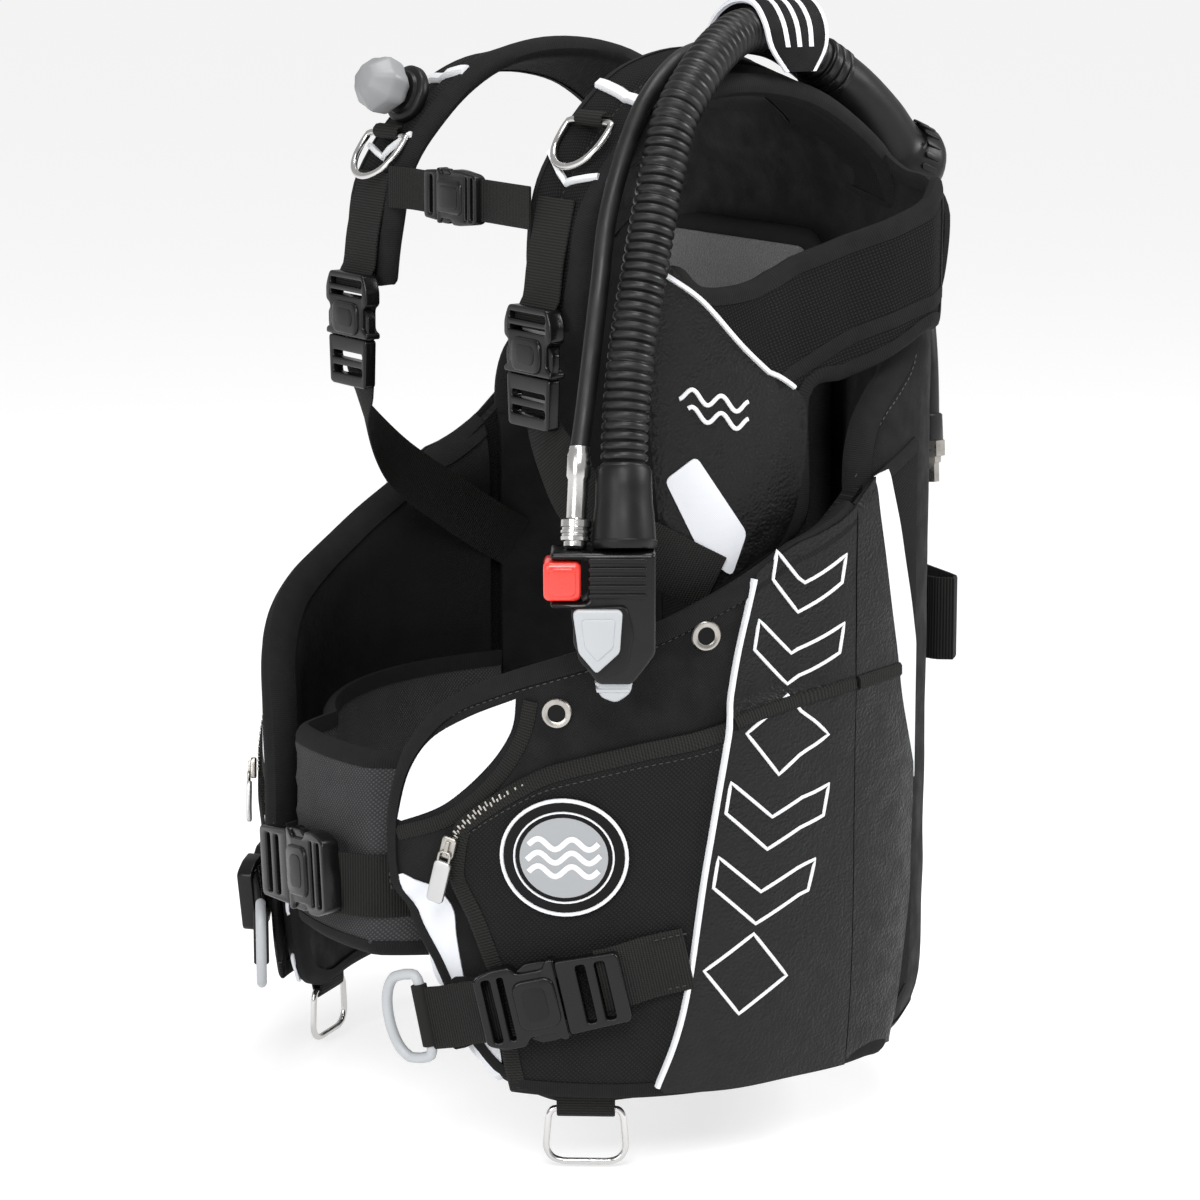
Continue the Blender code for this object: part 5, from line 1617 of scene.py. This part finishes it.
def elbow():
    stations = [(0.1128, 0.078, 0.6340, 0.0150), (0.110, 0.105, 0.617, 0.0160), (0.105, 0.128, 0.597, 0.0180),
                (0.101, 0.142, 0.581, 0.0200), (0.100, 0.149, 0.573, 0.0235), (0.0995, 0.163, 0.567, 0.0245),
                (0.099, 0.168, 0.565, 0.0200)]
    rows = smooth([(*at(*s[:3]), s[3]) for s in stations], 0.003)
    body = sweep("body", satin_black(), [r[:3] for r in rows], [r[3] for r in rows], 32)
    pieces = [body]
    a, b = at(*stations[0][:3]), at(*stations[1][:3])
    along = (b - a).normalized()
    for d, r in ((0.001, 0.0162), (0.0075, 0.0166), (0.014, 0.0168)):
        pieces.append(turned("clamp", gloss_black(), a + along * d, along,
                             [(0, r - 0.001), (0.0008, r), (0.0034, r), (0.0042, r - 0.001)]))
    c = at(0.100, 0.149, 0.573)
    axis = (at(0.0995, 0.163, 0.567) - c).normalized()
    side = axis.orthogonal().normalized()
    other = axis.cross(side)
    for turn in around(20):
        out = side * math.cos(turn) + other * math.sin(turn)
        m = axes(c + axis * 0.007 + out * 0.0242, axis, out)
        pieces.append(moulded("knurl", satin_black(), [rounded(-0.006, -0.0018, 0.006, 0.0018, 0.0015, 2)],
                              -0.0005, 0.0010, m, 0.0004))
    put(join("hose_elbow_detail", *pieces), "harness", "black_plastic", "hose_elbow")


def hose_flap():
    arch = [(0.0790, 0.6390, 0.040), (0.0800, 0.6510, 0.040), (0.0910, 0.6630, 0.040), (0.1080, 0.6700, 0.040),
            (0.1260, 0.6690, 0.040), (0.1375, 0.6580, 0.040), (0.1415, 0.6440, 0.036), (0.1435, 0.6300, 0.018)]
    side = Vector((0.06, 1, 0)).normalized()
    stations = [(at(x, 0.045, h), side, w) for x, h, w in arch]
    flap = strap("flap", twill(), stations, 0.0024, 0.004)
    pieces = [flap]
    for offset in (-0.5, 0.5):
        edge = [(at(x, 0.045, h) + side * (w * offset), side, 0.0030) for x, h, w in arch]
        pieces.append(strap("flap_edge", satin_white(), edge, 0.0036, 0.004))
    for offset in (-0.22, 0.0, 0.22):
        stripe = []
        for x, h, w in arch[2:7]:
            rise = Vector((x - 0.1105, 0, h - 0.6400)).normalized() * 0.0012
            stripe.append((at(x, 0.045, h) + side * (w * offset) + rise, side, 0.0030))
        pieces.append(strap("flap_stripe", satin_white(), stripe, 0.0018, 0.004))
    put(join("hose_flap_detail", *pieces), "hose_flap", "black_fabric", "hose_flap")


def dump_valve():
    axis = Vector((0.10, -0.94, 0.32)).normalized()
    seat = at(-0.103, -0.0725, 0.6068)
    valve = turned("valve", satin_black(), seat, axis,
                   [(-0.001, 0.0170), (0.0004, 0.0178), (0.0040, 0.0178), (0.0052, 0.0168), (0.0060, 0.0140),
                    (0.0080, 0.0130), (0.0082, 0.006)], 40)
    put(valve, "harness", "black_plastic", "right_dump_valve")
    side = axis.orthogonal().normalized()
    other = axis.cross(side)
    loops = []
    for d, r in ((0.0084, 0.009), (0.0092, 0.0108), (0.0145, 0.0160), (0.0165, 0.0168), (0.0250, 0.0180),
                 (0.0275, 0.0174), (0.0365, 0.0096), (0.0375, 0.0080)):
        ring = []
        for k in range(42):
            a = 2 * math.pi * k / 42
            r_here = r * (1 - 0.10 * (0.5 - 0.5 * math.cos(7 * a)) ** 0.7)
            ring.append(seat + axis * d + (side * math.cos(a) + other * math.sin(a)) * r_here)
        loops.append(ring)
    put(loft("right_dump_knob_detail", knob_plastic(), loops), "dump_knob", "pale_plastic", "right_dump_knob")


# Inflator

def inflator_axes():
    """X across the inflator to the wearer's left, y up, z outward, its back at z = 0."""
    flat = outward(INFLATOR_ANGLE) * INFLATOR_BACK
    origin = at(flat.x, flat.y, 0)
    return axes(origin, leftward(INFLATOR_ANGLE), outward(INFLATOR_ANGLE))


def inflator(thin_hose, thin_line):
    m = inflator_axes()
    left_part = [(-0.0275, 0.3435), (-0.015, 0.3425), (-0.015, 0.323), (-0.010, 0.312), (-0.001, 0.300),
                 (0.018, 0.300), (0.025, 0.309), (0.031, 0.3175), (0.031, 0.3745), (-0.0275, 0.3745),
                 (-0.0275, 0.3705), (-0.0065, 0.3705), (-0.0065, 0.3465), (-0.0275, 0.3465)]
    shell = moulded("shell", gloss_black(), [smooth_corners(left_part, 0.0028)], 0.0, 0.030, m, 0.0024)
    pieces = [shell]
    for k in range(5):
        h = 0.3505 + k * 0.0050
        fin = [rounded(-0.0065, h - 0.0014, 0.026, h + 0.0014, 0.0012, 2)]
        pieces.append(moulded("fin", satin_black(), fin, 0.028, 0.0318, m, 0.0006))
    face = [smooth_corners([(-0.0165, 0.3440), (0.0150, 0.3455), (0.0190, 0.330), (0.0150, 0.309),
                            (0.000, 0.3035), (-0.012, 0.314)], 0.004)]
    pieces.append(moulded("face", satin_black(), face, 0.026, 0.0330, m, 0.0012))
    tip = [smooth_corners([(-0.004, 0.3065), (0, 0.292), (0.009, 0.2885), (0.017, 0.294), (0.019, 0.304)],
                          0.003)]
    pieces.append(moulded("tip", pale_plastic(), tip, 0.006, 0.026, m, 0.0022))
    for k in range(3):
        ring = [(-0.0035 + k * 0.0006, 0.3050 - k * 0.0040), (0.0185 - k * 0.0010, 0.3050 - k * 0.0040),
                (0.0180 - k * 0.0010, 0.3030 - k * 0.0040), (-0.0030 + k * 0.0006, 0.3030 - k * 0.0040)]
        pieces.append(moulded("lip", pale_plastic(), [ring], 0.0050, 0.0268, m, 0.0006))
    put(join("inflator_detail", *pieces), "left_lobe", "black_plastic", "inflator_body")
    button = [rounded(-0.0315, 0.3475, -0.0105, 0.3695, 0.0035)]
    cap = moulded("cap", red_plastic(), button, 0.003, 0.0315, m, 0.0030)
    dish = moulded("dish", red_plastic(), [rounded(-0.0285, 0.3505, -0.0135, 0.3665, 0.0030)],
                   0.028, 0.0325, m, 0.0008)
    put(join("inflate_button_detail", cap, dish), "inflate_button", "red_plastic", "inflate_button")
    shield = [(-0.0150, 0.3420), (-0.0130, 0.3440), (0.0105, 0.3440), (0.0125, 0.3420), (0.0110, 0.3200),
              (-0.0020, 0.3080), (-0.0120, 0.3200)]
    plate = moulded("plate", pale_plastic(), [smooth_corners(shield, 0.0022)], 0.0334, 0.0388, m, 0.0012)
    groove = [(x * 0.68 - 0.0002, 0.3290 + (h - 0.3290) * 0.66) for x, h in shield]
    raised = moulded("raised", pale_plastic(), [smooth_corners(groove, 0.0018)], 0.0380, 0.0396, m, 0.0006)
    put(join("deflate_button_detail", plate, raised), "deflate_button", "pale_plastic", "deflate_button")
    foot = m @ Vector((0.0135, 0.3753, 0.015))
    top = at(*HOSE[-1])
    along = (top - foot).normalized()
    span = (top - foot).length
    profile = [(-0.001, 0.0172), (0.0004, 0.0184), (0.0036, 0.0186), (0.0042, 0.0179), (0.0090, 0.0176),
               (0.0180, 0.0170), (span * 0.60, 0.0162), (span * 0.85, 0.0158), (span + 0.003, 0.0158),
               (span + 0.0055, 0.0145)]
    put(turned("hose_cuff_detail", satin_black(), foot, along, profile, 36), "left_lobe", "rubber", "hose_cuff")
    foot = m @ Vector((-0.0138, 0.3753, 0.015))
    top = thin_line[0]
    along = (top - foot).normalized()
    span = (top - foot).length
    core = turned("quick_coupling_detail", steel(), foot, along,
                  [(-0.001, 0.0050), (0.0005, 0.0066), (0.003, 0.0066), (0.0035, 0.0058), (span - 0.018, 0.0058),
                   (span - 0.016, 0.0068), (span - 0.004, 0.0068), (span - 0.002, 0.0060), (span + 0.0008, 0.0058)], 28)
    put(core, "left_lobe", "chrome", "quick_coupling")
    sleeve = turned("coupling_sleeve_detail", steel(), foot + along * 0.003, along,
                    [(0, 0.0070), (0.0006, 0.0083), (0.0026, 0.0086), (0.0031, 0.0079), (0.0042, 0.0079),
                     (0.0047, 0.0086), (0.0062, 0.0086), (0.0067, 0.0079), (0.0078, 0.0079), (0.0083, 0.0086),
                     (0.0120, 0.0086), (0.0130, 0.0070)], 32)
    put(sleeve, "coupling_sleeve", "chrome", "coupling_sleeve")
    end = thin_line[-1]
    down = (end - thin_line[-2]).normalized()
    boot = turned("boot", hose_rubber(), end, down,
                  [(-0.010, 0.0064), (-0.009, 0.0074), (0.006, 0.0077), (0.007, 0.0070)], 24)
    nut = turned("nut", nickel(), end, down,
                 [(0.006, 0.0070), (0.0065, 0.0086), (0.016, 0.0086), (0.0165, 0.0062),
                  (0.020, 0.0060), (0.0205, 0.0048), (0.032, 0.0048)], 6)
    fitting = join("lp_fitting_detail", boot, nut)
    put(fitting, "harness", "chrome", "lp_fitting")
    tuple(thin_line[0])
    route_length(thin_line)
    [tuple(p) for p in thin_line]


# Badge, grommets and room

def disc(u, v, radius):
    return [(u + radius * math.cos(t), v + radius * math.sin(t)) for t in around(48)]


def badge(panel):
    u, v = pattern((51.5, 0.192))[0]
    dark = panel.overlay("dark", badge_black(), disc(u, v, 0.0345), 0.0002, 0.0022, cell=0.006)
    pieces = [dark]
    for radius, width in ((0.0335, 0.0022), (0.0265, 0.0012)):
        path = [np.array(p) for p in disc(u, v, radius)]
        pieces.append(panel.line("rim", white_piping(), path, width, 0.0010, 0.0024, closed=True))
    pieces.append(panel.overlay("centre", badge_grey(), disc(u, v, 0.0235), 0.0018, 0.0012, cell=0.005))
    for offset in (-0.008, 0.0, 0.008):
        wave = [np.array((u + x, v + offset + 0.0030 * math.sin(x * 2 * math.pi / 0.018)))
                for x in np.linspace(-0.0195, 0.0195, 40) * math.sqrt(1 - (offset / 0.026) ** 2)]
        pieces.append(panel.line("wave", satin_white(), wave, 0.0034, 0.0009, 0.0029))
    both(join("left_badge", *pieces), "left_lobe", "grey_cordura")


def grommets(panel):
    for k, (angle, h) in enumerate(((50.2, 0.2746), (73.8, 0.3180))):
        u, v = pattern((angle, h))[0]
        centre = panel.point(1, u, v)
        n = panel.normal(1, u, v)
        rim = turned("rim", nickel(), centre, n, [(-0.001, 0.0090), (0.0008, 0.0090), (0.0018, 0.0082),
                                                    (0.0020, 0.0068), (0.0012, 0.0052), (-0.001, 0.0046)], 32)
        hole = turned("hole", badge_black(), centre, n, [(-0.0012, 0.0052), (0.0007, 0.0052)], 24)
        both(join(f"left_grommet_{k}", rim, hole), "left_lobe", "steel")


def room():
    bpy.ops.mesh.primitive_plane_add(size=400, location=at(0, 0, FLOOR_H))
    floor = bpy.context.object
    floor.name = "floor"
    pale = Finish("studio_floor", (0.55, 0.55, 0.55), 0.9, specular=0.0)
    pale.set("Emission Color", (1, 1, 1, 1)).set("Emission Strength", 0.62)
    floor.data.materials.append(pale.material)
    world = bpy.data.worlds.new("studio")
    bpy.context.scene.world = world
    world.use_nodes = True
    sky = world.node_tree.nodes["Background"]
    sky.inputs["Color"].default_value = (1.0, 1.0, 1.0, 1)
    sky.inputs["Strength"].default_value = 0.50
    soft_light("key", (1.9, -1.5, 1.7), 1.2, 44)
    soft_light("fill", (0.9, -2.4, 0.6), 1.2, 20)
    soft_light("rim", (1.3, 1.5, 1.1), 0.8, 34)
    soft_light("top", (0.1, 0.0, 2.2), 1.0, 26)
    bpy.context.scene.view_settings.view_transform = "Standard"


def soft_light(name, place, size, watts):
    data = bpy.data.lights.new(name, "AREA")
    data.size = size
    data.energy = watts
    obj = bpy.data.objects.new(name, data)
    bpy.context.scene.collection.objects.link(obj)
    obj.location = place
    obj.rotation_euler = (Vector((0, -PAD_Y, 0)) - Vector(place)).to_track_quat("-Z", "Y").to_euler()


camera()
thin, thin_route = hoses()
front_panel = lobe()
pocket()
outer_panel = cover()
zip_fastener()
weight_pouch()
air_cell()
gusset()
side_panel()
chest_panel()
cummerbund()
waist_belts()
shoulder_pad()
back_pad()
yoke()
harness_straps()
buckles()
rings()
back_plate()
tank_band()
elbow()
hose_flap()
dump_valve()
inflator(thin, thin_route)
badge(outer_panel)
grommets(front_panel)
room()
